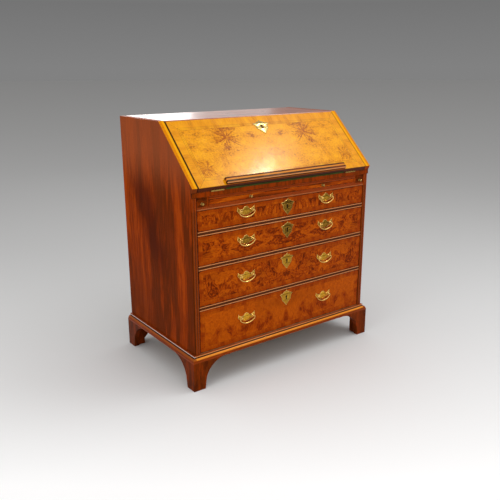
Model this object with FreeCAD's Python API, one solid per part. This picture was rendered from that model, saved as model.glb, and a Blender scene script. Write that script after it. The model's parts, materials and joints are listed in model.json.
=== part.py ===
import FreeCAD, Part
import math
import os

# A walnut slope-front bureau: four long drawers, a brushing slide between two lopers, and a sloping fall
# that drops to make a writing surface. X runs to the right, the front faces -Y and Z is up. The origin is on
# the floor, under the middle of the whole piece. Sizes are in millimetres.

Vector = FreeCAD.Vector
ORIGIN = Vector(0, 0, 0)
ALONG_X = Vector(1, 0, 0)
ALONG_Y = Vector(0, 1, 0)
DIAGONAL = math.sqrt(0.5)

# Case
CASE_WIDTH = 914.0
CASE_DEPTH = 548.0
CASE_HEIGHT = 1024.0
TOP_DEPTH = 331.0
SIDE_THICKNESS = 25.0
TOP_THICKNESS = 20.0
BACK_THICKNESS = 12.0
BACK_BOARDS = 3
BACK_BOARD_GAP = 0.8
BOTTOM_THICKNESS = 18.0
BOTTOM_LIFT = 10.0

# Base moulding and bracket feet
FOOT_HEIGHT = 118.0
BASE_OVERHANG = 20.0
BASE_FASCIA = 6.0
BASE_OVOLO_STEP = 2.0
BASE_OVOLO_WIDTH = 11.0
BASE_OVOLO_HEIGHT = 12.0
BASE_BEAD_RADIUS = 4.0
BASE_BEAD_SEAT = 5.0
FOOT_WIDTH = 52.0
FOOT_SPLAY = 7.0
FOOT_LEG_HEIGHT = 48.0
BRACKET_WIDTH = 172.0
BRACKET_THICKNESS = 22.0
BRACKET_TIP = 2.0
REAR_BRACKET_WIDTH = 110.0
REAR_BRACKET_TIP = 40.0
GLUE_BLOCK = 30.0
GLUE_BLOCK_LIFT = 4.0

# Drawer openings: their share of the case height, how it is divided from the top one down, and the rails
DRAWER_STACK_SHARE = 0.5025
DRAWER_PROPORTIONS = (53, 77, 97, 116)
DIVIDER_HEIGHT = 18.0
DIVIDER_BEAD = 2.5
TOP_DIVIDER_HEIGHT = 12.0
TOP_DIVIDER_BEAD = 3.0
DIVIDER_DEPTH = 60.0
RUNNER_WIDTH = 30.0
DUST_BOARD_THICKNESS = 8.0
STILE_BEAD_INSET = 2.0
STILE_BEAD_WIDTH = 20.0
STILE_BEAD_BACKING = 1.0
STILE_BEAD_RISE = 4.0

# Drawers
DRAWER_BACK_ROOM = 21.0
DRAWER_FRONT_THICKNESS = 22.0
DRAWER_SIDE_THICKNESS = 11.0
DRAWER_BOTTOM_THICKNESS = 8.0
DRAWER_BOTTOM_LIFT = 6.0
DRAWER_SIDE_DROP = 6.0
DRAWER_BACK_DROP = 6.0
DRAWER_SIDE_GAP = 1.0
DRAWER_TOP_GAP = 1.0
RUNNING_GAP = 0.4

# Waist: loper bays, brushing slide, rail and writing bed
LOPER_BAY_HEIGHT = 37.5
LOPER_BAY_WIDTH = 45.0
LOPER_BACK_ROOM = 106.0
PARTITION_THICKNESS = 9.0
BEARER_WIDTH = 26.0
SLIDE_LIFT = 5.0
SLIDE_BACK_ROOM = 96.0
SLIDING_SIDE_GAP = 0.8
WAIST_BEAD_HEIGHT = 12.5
WAIST_BEAD_RADIUS = 3.0
WAIST_BEAD_DEPTH = 20.0
WAIST_COVE = 4.0
RAIL_FORWARD = 6.0
WAIST_RAIL_DEPTH = 70.0

# Fall
FALL_THICKNESS = 19.0
FALL_EDGE_BEVEL = 6.0
FALL_SIDE_GAP = 1.5
FALL_END_GAP = 0.6
TOP_LIP = 4.0
BOOK_REST_INSET = 126.0
BOOK_REST_WIDTH = 25.0
BOOK_REST_RISE = 12.0
BOOK_REST_NOSE = 3.0
BOOK_REST_START = 1.5
LINING_HINGE_GAP = 10.0
LINING_THICKNESS = 1.2
LINING_WRAP = 9.0
FALL_LINING_MARGIN = 101.2
FALL_LOCK_WIDTH = 70.0
FALL_LOCK_HEIGHT = 74.0
FALL_LOCK_DEPTH = 10.0
FALL_KEY_DROP = 52.0

# Fall hinges
HINGE_INSET = 88.0
HINGE_LENGTH = 58.0
HINGE_LEAF_WIDTH = 26.0
HINGE_LEAF_THICKNESS = 2.0
KNUCKLE_RADIUS = 3.2
KNUCKLE_GAP = 0.3
HINGE_PIN_RADIUS = 1.5
HINGE_PIN_CLEARANCE = 0.05

# Brass furniture
HANDLE_INSET = 222.0
HANDLE_RISE = 14.0
POST_SPREAD = 55.0
POST_SHANK_RADIUS = 2.6
POST_COLLAR_RADIUS = 4.4
POST_COLLAR_HEIGHT = 2.0
POST_HEAD_RADIUS = 4.6
POST_REACH = 8.0
POST_HOLE_CLEARANCE = 0.1
NUT_SIZE = 10.0
NUT_THICKNESS = 3.0
PLATE_WIDTH = 86.0
PLATE_MARGIN = 8.75
PLATE_DROP = 20.0
PLATE_THICKNESS = 1.8
BAIL_RADIUS = 2.2
BAIL_PIN_RADIUS = 2.0
BAIL_PIN_CLEARANCE = 0.05
BAIL_HALF_WIDTH = 36.5
BAIL_ELBOW_RADIUS = 3.5
BAIL_SHOULDER_RADIUS = 14.0
BAIL_DROP = 24.5
ESCUTCHEON_WIDTH = 70.0
ESCUTCHEON_RISE = 31.0
ESCUTCHEON_TOP_MARGIN = 3.0
ESCUTCHEON_FOOT_MARGIN = 5.5
FALL_ESCUTCHEON_WIDTH = 84.0
FALL_ESCUTCHEON_RISE = 31.0
FALL_ESCUTCHEON_DROP = 42.0
KEYHOLE_RADIUS = 4.2
KEYHOLE_SLOT_WIDTH = 5.0
KEYHOLE_SLOT_LENGTH = 14.0
LOCK_WIDTH = 60.0
LOCK_HEIGHT = 48.0
LOCK_DEPTH = 12.0
KNOB_HEAD_RADIUS = 5.0
KNOB_TIP_RADIUS = 3.0
KNOB_LENGTH = 13.0
KNOB_STEM_RADIUS = 2.6
KNOB_SHANK_RADIUS = 2.0
KNOB_SHANK_LENGTH = 12.0
KNOB_HOLE_CLEARANCE = 0.1

# Fitted interior
INTERIOR_SETBACK = 67.0
INTERIOR_BOARD = 8.0
INTERIOR_DIVIDER = 6.0
INTERIOR_SIDE_GAP = 0.5
CENTRE_BAY_WIDTH = 180.0
SIDE_PIGEONHOLES = 3
SMALL_DRAWER_SHARE = 0.2534
SMALL_DRAWER_BOARD = 6.0
SMALL_DRAWER_FRONT = 12.0
SMALL_DRAWER_BACK_ROOM = 52.0
SMALL_DRAWER_GAP = 0.8
VALANCE_THICKNESS = 8.0
VALANCE_HEIGHT = 30.0
VALANCE_CROWN = 12.0

# Drawers and what is fitted to the top one, which is the smallest
DRAWER_STACK = CASE_HEIGHT * DRAWER_STACK_SHARE
DRAWER_HEIGHTS = [DRAWER_STACK * part / sum(DRAWER_PROPORTIONS) for part in DRAWER_PROPORTIONS]
DRAWER_LENGTH = CASE_DEPTH - BACK_THICKNESS - DRAWER_BACK_ROOM
PLATE_RISE = DRAWER_HEIGHTS[0] / 2 - HANDLE_RISE - PLATE_MARGIN
KEY_DROP = ESCUTCHEON_TOP_MARGIN + ESCUTCHEON_RISE
ESCUTCHEON_DROP = DRAWER_HEIGHTS[0] - KEY_DROP - ESCUTCHEON_FOOT_MARGIN

# Levels and planes that follow from the sizes above
CASE_HALF = CASE_WIDTH / 2
INNER_HALF = CASE_HALF - SIDE_THICKNESS
FRONT = (BASE_OVERHANG - CASE_DEPTH) / 2
BACK = FRONT + CASE_DEPTH
BACK_INNER = BACK - BACK_THICKNESS
TOP_UNDERSIDE = CASE_HEIGHT - TOP_THICKNESS
DRAWER_FLOOR = FOOT_HEIGHT + BOTTOM_LIFT + BOTTOM_THICKNESS
LOPER_FLOOR = (
    DRAWER_FLOOR + sum(DRAWER_HEIGHTS) + DIVIDER_HEIGHT * (len(DRAWER_HEIGHTS) - 1) + TOP_DIVIDER_HEIGHT
)
SLIDE_FLOOR = LOPER_FLOOR + SLIDE_LIFT
RAIL_BOTTOM = LOPER_FLOOR + LOPER_BAY_HEIGHT
WAIST_BEAD_BOTTOM = RAIL_BOTTOM - WAIST_BEAD_HEIGHT
WRITING_LEVEL = RAIL_BOTTOM + FALL_THICKNESS
LOPER_INNER = INNER_HALF - LOPER_BAY_WIDTH
SLIDE_BAY_HALF = LOPER_INNER - PARTITION_THICKNESS
HINGE_Y = FRONT - RAIL_FORWARD
CREST_Y = BACK - TOP_DEPTH
INTERIOR_FRONT = CREST_Y + INTERIOR_SETBACK

# Lengths between those planes
HANDLE_SPREAD = 2 * (INNER_HALF - HANDLE_INSET)
HINGE_SPREAD = 2 * (INNER_HALF - HINGE_INSET)
LINING_WIDTH = HINGE_SPREAD - HINGE_LENGTH - 2 * LINING_HINGE_GAP
BOOK_REST_LENGTH = 2 * (INNER_HALF - BOOK_REST_INSET)
LOPER_LENGTH = CASE_DEPTH - BACK_THICKNESS - LOPER_BACK_ROOM
SLIDE_LENGTH = CASE_DEPTH - BACK_THICKNESS - SLIDE_BACK_ROOM
SLIDE_KNOB_SPREAD = SLIDE_BAY_HALF
SMALL_DRAWER_HEIGHT = (TOP_UNDERSIDE - WRITING_LEVEL) * SMALL_DRAWER_SHARE
SMALL_DRAWER_LENGTH = BACK_INNER - INTERIOR_FRONT - SMALL_DRAWER_BACK_ROOM

# The slope: the fall's inner face passes through the hinge line, its outer face through the crest of the top
CREST_DISTANCE = math.hypot(CREST_Y - HINGE_Y, CASE_HEIGHT - WRITING_LEVEL)
SLOPE_LENGTH = math.sqrt(CREST_DISTANCE ** 2 - FALL_THICKNESS ** 2)
CREST_ANGLE = math.atan2(CASE_HEIGHT - WRITING_LEVEL, CREST_Y - HINGE_Y)
SLOPE_ANGLE = CREST_ANGLE - math.atan2(FALL_THICKNESS, SLOPE_LENGTH)
FALL_TOP = SLOPE_LENGTH - TOP_LIP - FALL_END_GAP
FALL_HALF = INNER_HALF - FALL_SIDE_GAP
FALL_KEY = FALL_TOP - FALL_KEY_DROP
FALL_LINING_LENGTH = FALL_TOP - FALL_LINING_MARGIN


def box(x_span, y_span, z_span):
    """Board from spans (low, high) along each axis."""
    size = [high - low for low, high in (x_span, y_span, z_span)]
    return Part.makeBox(*size, Vector(x_span[0], y_span[0], z_span[0]))


def across(half_width):
    """Span that is centred on the middle plane."""
    return (-half_width, half_width)


def put(axis, offset, point):
    """Point of a flat outline, in the plane square to the axis."""
    a, b = point
    if axis == "x":
        return Vector(offset, a, b)
    if axis == "y":
        return Vector(a, offset, b)
    return Vector(a, b, offset)


def prism(axis, span, start, *steps):
    """Solid with a flat outline, along an axis. A step is a point for a line, or (middle, end) for an arc."""
    low, high = span
    here = start
    edges = []
    for step in steps + (start,):
        if isinstance(step[0], tuple):
            middle, end = step
            corners = [put(axis, low, point) for point in (here, middle, end)]
            edges.append(Part.Arc(*corners).toShape())
        elif step == here:
            continue
        else:
            end = step
            edges.append(Part.LineSegment(put(axis, low, here), put(axis, low, end)).toShape())
        here = end
    return Part.Face(Part.Wire(edges)).extrude(put(axis, high - low, (0, 0)))


def mirrored(shape):
    """The same piece on the other side of the middle plane."""
    return shape.mirror(ORIGIN, ALONG_X)


def pair(shape):
    """A piece and its mirror image."""
    return [shape, mirrored(shape)]


def whole(half):
    """One piece from its right half."""
    return half.fuse(mirrored(half)).removeSplitter()


def round_x(radius, x_span, y, z):
    """Round bar along X."""
    return Part.makeCylinder(radius, x_span[1] - x_span[0], Vector(x_span[0], y, z), ALONG_X)


def round_y(radius, y_span, x, z):
    """Round bar along Y."""
    return Part.makeCylinder(radius, y_span[1] - y_span[0], Vector(x, y_span[0], z), ALONG_Y)


def save(name, *solids):
    """Write one node, whose solids stay separate."""
    shape = solids[0] if len(solids) == 1 else Part.makeCompound(list(solids))
    shape.exportStep("parts/" + name + ".step")


def slope_point(along, out):
    """Point (y, z) at a distance up the slope from the hinge line and out from the fall's inner face."""
    y = HINGE_Y + along * math.cos(SLOPE_ANGLE) - out * math.sin(SLOPE_ANGLE)
    z = WRITING_LEVEL + along * math.sin(SLOPE_ANGLE) + out * math.cos(SLOPE_ANGLE)
    return (y, z)


def tilt(shape):
    """Carry a piece of the fall, modelled flat with Y up the slope and Z outwards, to the closed fall."""
    placed = shape.rotated(ORIGIN, ALONG_X, math.degrees(SLOPE_ANGLE))
    return placed.translated(Vector(0, HINGE_Y, WRITING_LEVEL))


def drawer_openings():
    """(floor, top) of each long drawer's opening, the top drawer first."""
    spans = []
    floor = DRAWER_FLOOR
    for height in reversed(DRAWER_HEIGHTS):
        spans.insert(0, (floor, floor + height))
        floor += height + DIVIDER_HEIGHT
    return spans


def divider_spans():
    """(bottom, top) of each drawer rail, the top one first."""
    tops = [span[1] for span in drawer_openings()]
    spans = [(top, top + DIVIDER_HEIGHT) for top in tops]
    spans[0] = (tops[0], LOPER_FLOOR)
    return spans


# Carcase boards

def side_board():
    return prism(
        "x", (INNER_HALF, CASE_HALF),
        (FRONT, FOOT_HEIGHT),
        (FRONT, WRITING_LEVEL),
        (HINGE_Y, WRITING_LEVEL),
        slope_point(FALL_EDGE_BEVEL, FALL_THICKNESS),
        (CREST_Y, CASE_HEIGHT),
        (BACK, CASE_HEIGHT),
        (BACK, FOOT_HEIGHT),
    )


def top_board():
    """Top between the sides, with its front edge cut square to the slope behind a thin lip."""
    along = SLOPE_LENGTH - TOP_LIP
    drop = WRITING_LEVEL + along * math.sin(SLOPE_ANGLE) - TOP_UNDERSIDE
    foot = slope_point(along, -drop / math.cos(SLOPE_ANGLE))
    return prism(
        "x", across(INNER_HALF),
        (CREST_Y, CASE_HEIGHT),
        slope_point(along, FALL_THICKNESS),
        foot,
        (BACK, TOP_UNDERSIDE),
        (BACK, CASE_HEIGHT),
    )


def back_boards():
    width = (2 * INNER_HALF - BACK_BOARD_GAP * (BACK_BOARDS - 1)) / BACK_BOARDS
    boards = []
    for index in range(BACK_BOARDS):
        left = -INNER_HALF + index * (width + BACK_BOARD_GAP)
        boards.append(box((left, left + width), (BACK_INNER, BACK), (FOOT_HEIGHT, TOP_UNDERSIDE)))
    return boards


def bottom_board():
    return box(across(INNER_HALF), (FRONT, BACK_INNER), (DRAWER_FLOOR - BOTTOM_THICKNESS, DRAWER_FLOOR))


def double_bead_rail(span):
    """Drawer rail with a half-round bead along each edge of its front and a flat between them."""
    low, high = span
    radius = DIVIDER_BEAD
    return prism(
        "x", across(INNER_HALF),
        (FRONT + DIVIDER_DEPTH, low),
        (FRONT, low),
        ((FRONT - radius, low + radius), (FRONT, low + 2 * radius)),
        (FRONT, high - 2 * radius),
        ((FRONT - radius, high - radius), (FRONT, high)),
        (FRONT + DIVIDER_DEPTH, high),
    )


def top_divider(span):
    """Rail over the top drawer: a single bead, and a raised part under the slide."""
    low, high = span
    radius = TOP_DIVIDER_BEAD
    rail = prism(
        "x", across(INNER_HALF),
        (FRONT + DIVIDER_DEPTH, low),
        (FRONT, low),
        ((FRONT - radius, low + radius), (FRONT, low + 2 * radius)),
        (FRONT, high),
        (FRONT + DIVIDER_DEPTH, high),
    )
    raised = box(across(SLIDE_BAY_HALF), (FRONT, FRONT + DIVIDER_DEPTH), (high, SLIDE_FLOOR))
    return rail.fuse(raised).removeSplitter()


def drawer_rails():
    spans = divider_spans()
    return [top_divider(spans[0])] + [double_bead_rail(span) for span in spans[1:]]


def drawer_runners():
    runners = []
    x_span = (INNER_HALF - RUNNER_WIDTH, INNER_HALF)
    for span in divider_spans():
        runners += pair(box(x_span, (FRONT + DIVIDER_DEPTH, BACK_INNER), span))
    return runners


def dust_boards():
    half = INNER_HALF - RUNNER_WIDTH
    depth = (FRONT + DIVIDER_DEPTH, BACK_INNER)
    return [box(across(half), depth, (top - DUST_BOARD_THICKNESS, top)) for _, top in divider_spans()]


def stile_bead():
    """Double bead on the front edge of a side board."""
    inner = INNER_HALF + STILE_BEAD_INSET
    outer = inner + STILE_BEAD_WIDTH
    middle = (inner + outer) / 2
    quarter = STILE_BEAD_WIDTH / 4
    seat = FRONT - STILE_BEAD_BACKING
    crown = FRONT - STILE_BEAD_RISE
    return prism(
        "z", (FOOT_HEIGHT + base_moulding_height(), RAIL_BOTTOM),
        (inner, FRONT),
        (inner, seat),
        ((inner + quarter, crown), (middle, seat)),
        ((outer - quarter, crown), (outer, seat)),
        (outer, FRONT),
    )


# Waist

def loper_partitions():
    """Boards between the slide and the lopers, with the bearers that the slide runs on."""
    board = box((SLIDE_BAY_HALF, LOPER_INNER), (FRONT, BACK_INNER), (LOPER_FLOOR, RAIL_BOTTOM))
    bearer_x = (SLIDE_BAY_HALF - BEARER_WIDTH, SLIDE_BAY_HALF)
    bearer = box(bearer_x, (FRONT + DIVIDER_DEPTH, BACK_INNER), (LOPER_FLOOR, SLIDE_FLOOR))
    return pair(board) + pair(bearer)


def waist_bead_steps(top):
    """Front outline of the moulding under the waist rail, from its lower edge up: a bead, then a cove."""
    low = WAIST_BEAD_BOTTOM
    neck = low + 2 * WAIST_BEAD_RADIUS
    cove_middle = (FRONT - WAIST_COVE * (1 - DIAGONAL), top - (top - neck) * (1 - DIAGONAL))
    return (
        (FRONT, low),
        ((FRONT - WAIST_BEAD_RADIUS, low + WAIST_BEAD_RADIUS), (FRONT, neck)),
        (cove_middle, (FRONT - WAIST_COVE, top)),
    )


def waist_moulding():
    rear = FRONT + WAIST_BEAD_DEPTH
    return prism(
        "x", across(SLIDE_BAY_HALF),
        (rear, WAIST_BEAD_BOTTOM),
        *waist_bead_steps(RAIL_BOTTOM),
        (rear, RAIL_BOTTOM),
    )


def loper_middle():
    return (LOPER_INNER + INNER_HALF) / 2


def loper_knob_level():
    return (LOPER_FLOOR + WAIST_BEAD_BOTTOM) / 2


def loper():
    """Pull-out support for the open fall, on the right."""
    rear = FRONT + LOPER_LENGTH
    top = RAIL_BOTTOM - RUNNING_GAP
    bottom = LOPER_FLOOR + RUNNING_GAP
    bar = prism(
        "x", (LOPER_INNER + SLIDING_SIDE_GAP, INNER_HALF - SLIDING_SIDE_GAP),
        (rear, bottom),
        (FRONT, bottom),
        *waist_bead_steps(top),
        (rear, top),
    )
    return bar.cut(knob_hole(loper_middle(), FRONT, loper_knob_level()))


def slide_span():
    return (SLIDE_FLOOR + RUNNING_GAP, WAIST_BEAD_BOTTOM - RUNNING_GAP)


def slide_knob_level():
    return sum(slide_span()) / 2


def brushing_slide():
    board = box(across(SLIDE_BAY_HALF - SLIDING_SIDE_GAP), (FRONT, FRONT + SLIDE_LENGTH), slide_span())
    for x in (-SLIDE_KNOB_SPREAD / 2, SLIDE_KNOB_SPREAD / 2):
        board = board.cut(knob_hole(x, FRONT, slide_knob_level()))
    return board


def hinge_middles():
    return (-HINGE_SPREAD / 2, HINGE_SPREAD / 2)


def bed_lining_solid():
    return box(
        across(LINING_WIDTH / 2), (HINGE_Y, INTERIOR_FRONT), (WRITING_LEVEL - LINING_THICKNESS, WRITING_LEVEL)
    )


def waist_rail():
    """Rail under the fall. Its lip crosses the front edges of the sides."""
    level = (RAIL_BOTTOM, WRITING_LEVEL)
    lip = box(across(CASE_HALF), (HINGE_Y, FRONT), level)
    body = box(across(INNER_HALF), (FRONT, FRONT + WAIST_RAIL_DEPTH), level)
    rail = lip.fuse(body).removeSplitter().cut(bed_lining_solid())
    for x in hinge_middles():
        rail = rail.cut(hinge_barrel_space(x).translated(Vector(0, HINGE_Y, WRITING_LEVEL)))
        rail = rail.cut(fixed_leaf_plate(x))
    return rail


def writing_bed():
    bed = box(across(INNER_HALF), (FRONT + WAIST_RAIL_DEPTH, BACK_INNER), (RAIL_BOTTOM, WRITING_LEVEL))
    return bed.cut(bed_lining_solid())


# Base moulding and feet

def base_moulding_height():
    return BASE_FASCIA + BASE_OVOLO_HEIGHT + 2 * BASE_BEAD_RADIUS


def base_profile():
    """Outline (projection, height) of the base moulding: fascia, ovolo, then a bead."""
    low = FOOT_HEIGHT
    ovolo_low = low + BASE_FASCIA
    ovolo_high = ovolo_low + BASE_OVOLO_HEIGHT
    ovolo_out = BASE_OVERHANG - BASE_OVOLO_STEP
    ovolo_in = ovolo_out - BASE_OVOLO_WIDTH
    ovolo_middle = (
        ovolo_in + BASE_OVOLO_WIDTH * DIAGONAL,
        ovolo_low + BASE_OVOLO_HEIGHT * DIAGONAL,
    )
    bead_middle = (BASE_BEAD_SEAT + BASE_BEAD_RADIUS, ovolo_high + BASE_BEAD_RADIUS)
    top = low + base_moulding_height()
    return (
        (0.0, low),
        (BASE_OVERHANG, low),
        (BASE_OVERHANG, ovolo_low),
        (ovolo_out, ovolo_low),
        (ovolo_middle, (ovolo_in, ovolo_high)),
        (BASE_BEAD_SEAT, ovolo_high),
        (bead_middle, (BASE_BEAD_SEAT, top)),
        (0.0, top),
    )


def moved_outline(outline, change):
    """The outline with each of its points, arc middles too, put through the function."""
    result = []
    for step in outline:
        if isinstance(step[0], tuple):
            result.append(tuple(change(point) for point in step))
        else:
            result.append(change(step))
    return result


def base_mouldings():
    """Front length and two side lengths, mitred at the front corners."""
    outer = CASE_HALF + BASE_OVERHANG
    level = (0.0, CASE_HEIGHT)
    front_outline = moved_outline(base_profile(), lambda point: (FRONT - point[0], point[1]))
    side_outline = moved_outline(base_profile(), lambda point: (CASE_HALF + point[0], point[1]))
    front_plan = prism(
        "z", level,
        (-outer, FRONT - BASE_OVERHANG),
        (outer, FRONT - BASE_OVERHANG),
        (CASE_HALF, FRONT),
        (-CASE_HALF, FRONT),
    )
    side_plan = prism(
        "z", level,
        (outer, FRONT - BASE_OVERHANG),
        (outer, BACK),
        (CASE_HALF, BACK),
        (CASE_HALF, FRONT),
    )
    front = prism("x", across(outer), *front_outline).common(front_plan)
    side = prism("y", (FRONT - BASE_OVERHANG, BACK), *side_outline).common(side_plan)
    return [front] + pair(side)


def bracket_outline():
    """Outline (distance from the corner, height) of a bracket: a leg that swells into a thin apron."""
    leg = (FOOT_WIDTH + FOOT_SPLAY, FOOT_LEG_HEIGHT)
    apron = (BRACKET_WIDTH, FOOT_HEIGHT - BRACKET_TIP)
    reach = apron[0] - leg[0]
    climb = apron[1] - leg[1]
    middle = (apron[0] - reach * DIAGONAL, leg[1] + climb * DIAGONAL)
    return (
        (0.0, 0.0),
        (FOOT_WIDTH, 0.0),
        leg,
        (middle, apron),
        (BRACKET_WIDTH, FOOT_HEIGHT),
        (0.0, FOOT_HEIGHT),
    )


def glue_block(corner_y, toward):
    """Block behind the brackets of a right-hand foot, on the toward (+1 or -1) side of corner_y."""
    outer = CASE_HALF + BASE_OVERHANG - BRACKET_THICKNESS
    low, high = sorted((corner_y, corner_y + toward * GLUE_BLOCK))
    return box((outer - GLUE_BLOCK, outer), (low, high), (GLUE_BLOCK_LIFT, FOOT_HEIGHT))


def front_foot():
    """Front right foot: two mitred brackets and a glue block."""
    corner_x = CASE_HALF + BASE_OVERHANG
    corner_y = FRONT - BASE_OVERHANG
    inner_x = corner_x - BRACKET_THICKNESS
    inner_y = corner_y + BRACKET_THICKNESS
    level = (0.0, FOOT_HEIGHT)
    front_plan = prism(
        "z", level,
        (corner_x, corner_y), (inner_x, inner_y), (corner_x - BRACKET_WIDTH, inner_y),
        (corner_x - BRACKET_WIDTH, corner_y),
    )
    side_plan = prism(
        "z", level,
        (corner_x, corner_y), (corner_x, corner_y + BRACKET_WIDTH), (inner_x, corner_y + BRACKET_WIDTH),
        (inner_x, inner_y),
    )
    front_outline = moved_outline(bracket_outline(), lambda point: (corner_x - point[0], point[1]))
    side_outline = moved_outline(bracket_outline(), lambda point: (corner_y + point[0], point[1]))
    front = prism("y", (corner_y, inner_y), *front_outline).common(front_plan)
    side = prism("x", (inner_x, corner_x), *side_outline).common(side_plan)
    return [front, side, glue_block(inner_y, 1)]


def back_foot():
    """Back right foot: a shaped side bracket, a plain rear bracket and a glue block."""
    corner_x = CASE_HALF + BASE_OVERHANG
    inner_x = corner_x - BRACKET_THICKNESS
    inner_y = BACK - BRACKET_THICKNESS
    side_outline = moved_outline(bracket_outline(), lambda point: (BACK - point[0], point[1]))
    side = prism("x", (inner_x, corner_x), *side_outline)
    rear = prism(
        "y", (inner_y, BACK),
        (inner_x, 0.0),
        (inner_x, FOOT_HEIGHT),
        (inner_x - REAR_BRACKET_WIDTH, FOOT_HEIGHT),
        (inner_x - REAR_BRACKET_WIDTH, FOOT_HEIGHT - REAR_BRACKET_TIP),
        (inner_x - GLUE_BLOCK, 0.0),
    )
    return [side, rear, glue_block(inner_y, -1)]


# Brass furniture, each piece modelled about its own centre in the plane of the drawer fronts

def turned_y(outline, x, y, z):
    """Turned piece about an axis along Y; the outline holds (radius, distance forward) from end to end."""
    points = [Vector(radius, -forward, 0) for radius, forward in outline]
    face = Part.Face(Part.makePolygon(points + points[:1]))
    return face.revolve(ORIGIN, ALONG_Y, 360).translated(Vector(x, y, z))


def knob(x, y, z):
    """Small turned brass knob with a shank let into the wood behind the face at y."""
    bar = [(0.0, -KNOB_SHANK_LENGTH), (KNOB_SHANK_RADIUS, -KNOB_SHANK_LENGTH), (KNOB_SHANK_RADIUS, 0.0)]
    fifth = KNOB_LENGTH / 5
    neck = [(KNOB_HEAD_RADIUS, 0.0), (KNOB_STEM_RADIUS, fifth), (KNOB_STEM_RADIUS, 2 * fifth)]
    head = [(KNOB_HEAD_RADIUS, 3 * fifth), (KNOB_HEAD_RADIUS, 4 * fifth)]
    tip = [(KNOB_TIP_RADIUS, KNOB_LENGTH), (0.0, KNOB_LENGTH)]
    return turned_y(bar + neck + head + tip, x, y, z)


def knob_hole(x, y, z):
    return round_y(KNOB_SHANK_RADIUS + KNOB_HOLE_CLEARANCE, (y, y + KNOB_SHANK_LENGTH), x, z)


def keyhole(y_span):
    """Keyhole through a span along Y, about the middle of its round part."""
    slot_half = KEYHOLE_SLOT_WIDTH / 2
    slot = box(across(slot_half), y_span, (-KEYHOLE_SLOT_LENGTH, 0.0))
    return round_y(KEYHOLE_RADIUS, y_span, 0.0, 0.0).fuse(slot)


def shield(width, rise, drop):
    """Shield escutcheon about its keyhole, drawn in shares of its size: three points and a long tail."""
    half = width / 2
    outline = prism(
        "y", (-PLATE_THICKNESS, 0.0),
        (0.0, rise),
        ((half * 0.12, rise * 0.78), (half * 0.34, rise * 0.7)),
        ((half * 0.66, rise * 0.48), (half, rise * 0.36)),
        ((half * 0.8, rise * 0.14), (half * 0.72, -drop * 0.12)),
        ((half * 0.52, -drop * 0.56), (0.0, -drop)),
    )
    return whole(outline).cut(keyhole((-PLATE_THICKNESS, 0.0)))


def bat_wing_plate():
    """Handle plate about the line of its posts, drawn in shares of its size: a crown, two wings and a drop."""
    half = PLATE_WIDTH / 2
    outline = prism(
        "y", (-PLATE_THICKNESS, 0.0),
        (0.0, PLATE_RISE),
        ((half * 0.13, PLATE_RISE * 0.92), (half * 0.25, PLATE_RISE * 0.68)),
        ((half * 0.32, PLATE_RISE * 0.38), (half * 0.47, PLATE_RISE * 0.3)),
        ((half * 0.74, PLATE_RISE * 0.5), (half * 0.96, PLATE_RISE)),
        ((half * 0.93, PLATE_RISE * 0.55), (half, PLATE_RISE * 0.14)),
        ((half * 0.92, -PLATE_DROP * 0.14), (half * 0.8, -PLATE_DROP * 0.38)),
        ((half * 0.64, -PLATE_DROP * 0.56), (half * 0.46, -PLATE_DROP * 0.64)),
        ((half * 0.26, -PLATE_DROP * 0.88), (0.0, -PLATE_DROP)),
    )
    plate = whole(outline)
    for x in post_middles():
        plate = plate.cut(post_hole(x, (-PLATE_THICKNESS, 0.0)))
    return plate


def post_middles():
    return (-POST_SPREAD / 2, POST_SPREAD / 2)


def post_hole(x, y_span):
    return round_y(POST_SHANK_RADIUS + POST_HOLE_CLEARANCE, y_span, x, 0.0)


def bail_plane():
    """Distance of the bail's axis in front of the drawer front."""
    return PLATE_THICKNESS + POST_REACH


def handle_post(x):
    """Post of a handle: a shank through the plate and the drawer front, a collar and a drilled ball head."""
    inside = DRAWER_FRONT_THICKNESS + NUT_THICKNESS
    collar_end = PLATE_THICKNESS + POST_COLLAR_HEIGHT
    shank = round_y(POST_SHANK_RADIUS, (-bail_plane(), inside), x, 0.0)
    collar = round_y(POST_COLLAR_RADIUS, (-collar_end, -PLATE_THICKNESS), x, 0.0)
    head = Part.makeSphere(POST_HEAD_RADIUS, Vector(x, -bail_plane(), 0.0))
    hole = round_x(BAIL_PIN_RADIUS + BAIL_PIN_CLEARANCE, across(POST_HEAD_RADIUS), -bail_plane(), 0.0)
    return shank.fuse([collar, head]).cut(hole.translated(Vector(x, 0, 0)))


def handle_nut(x):
    """Square nut on the shank, inside the drawer."""
    y_span = (DRAWER_FRONT_THICKNESS, DRAWER_FRONT_THICKNESS + NUT_THICKNESS)
    half = NUT_SIZE / 2
    return box((x - half, x + half), y_span, across(half)).cut(post_hole(x, y_span))


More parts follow.
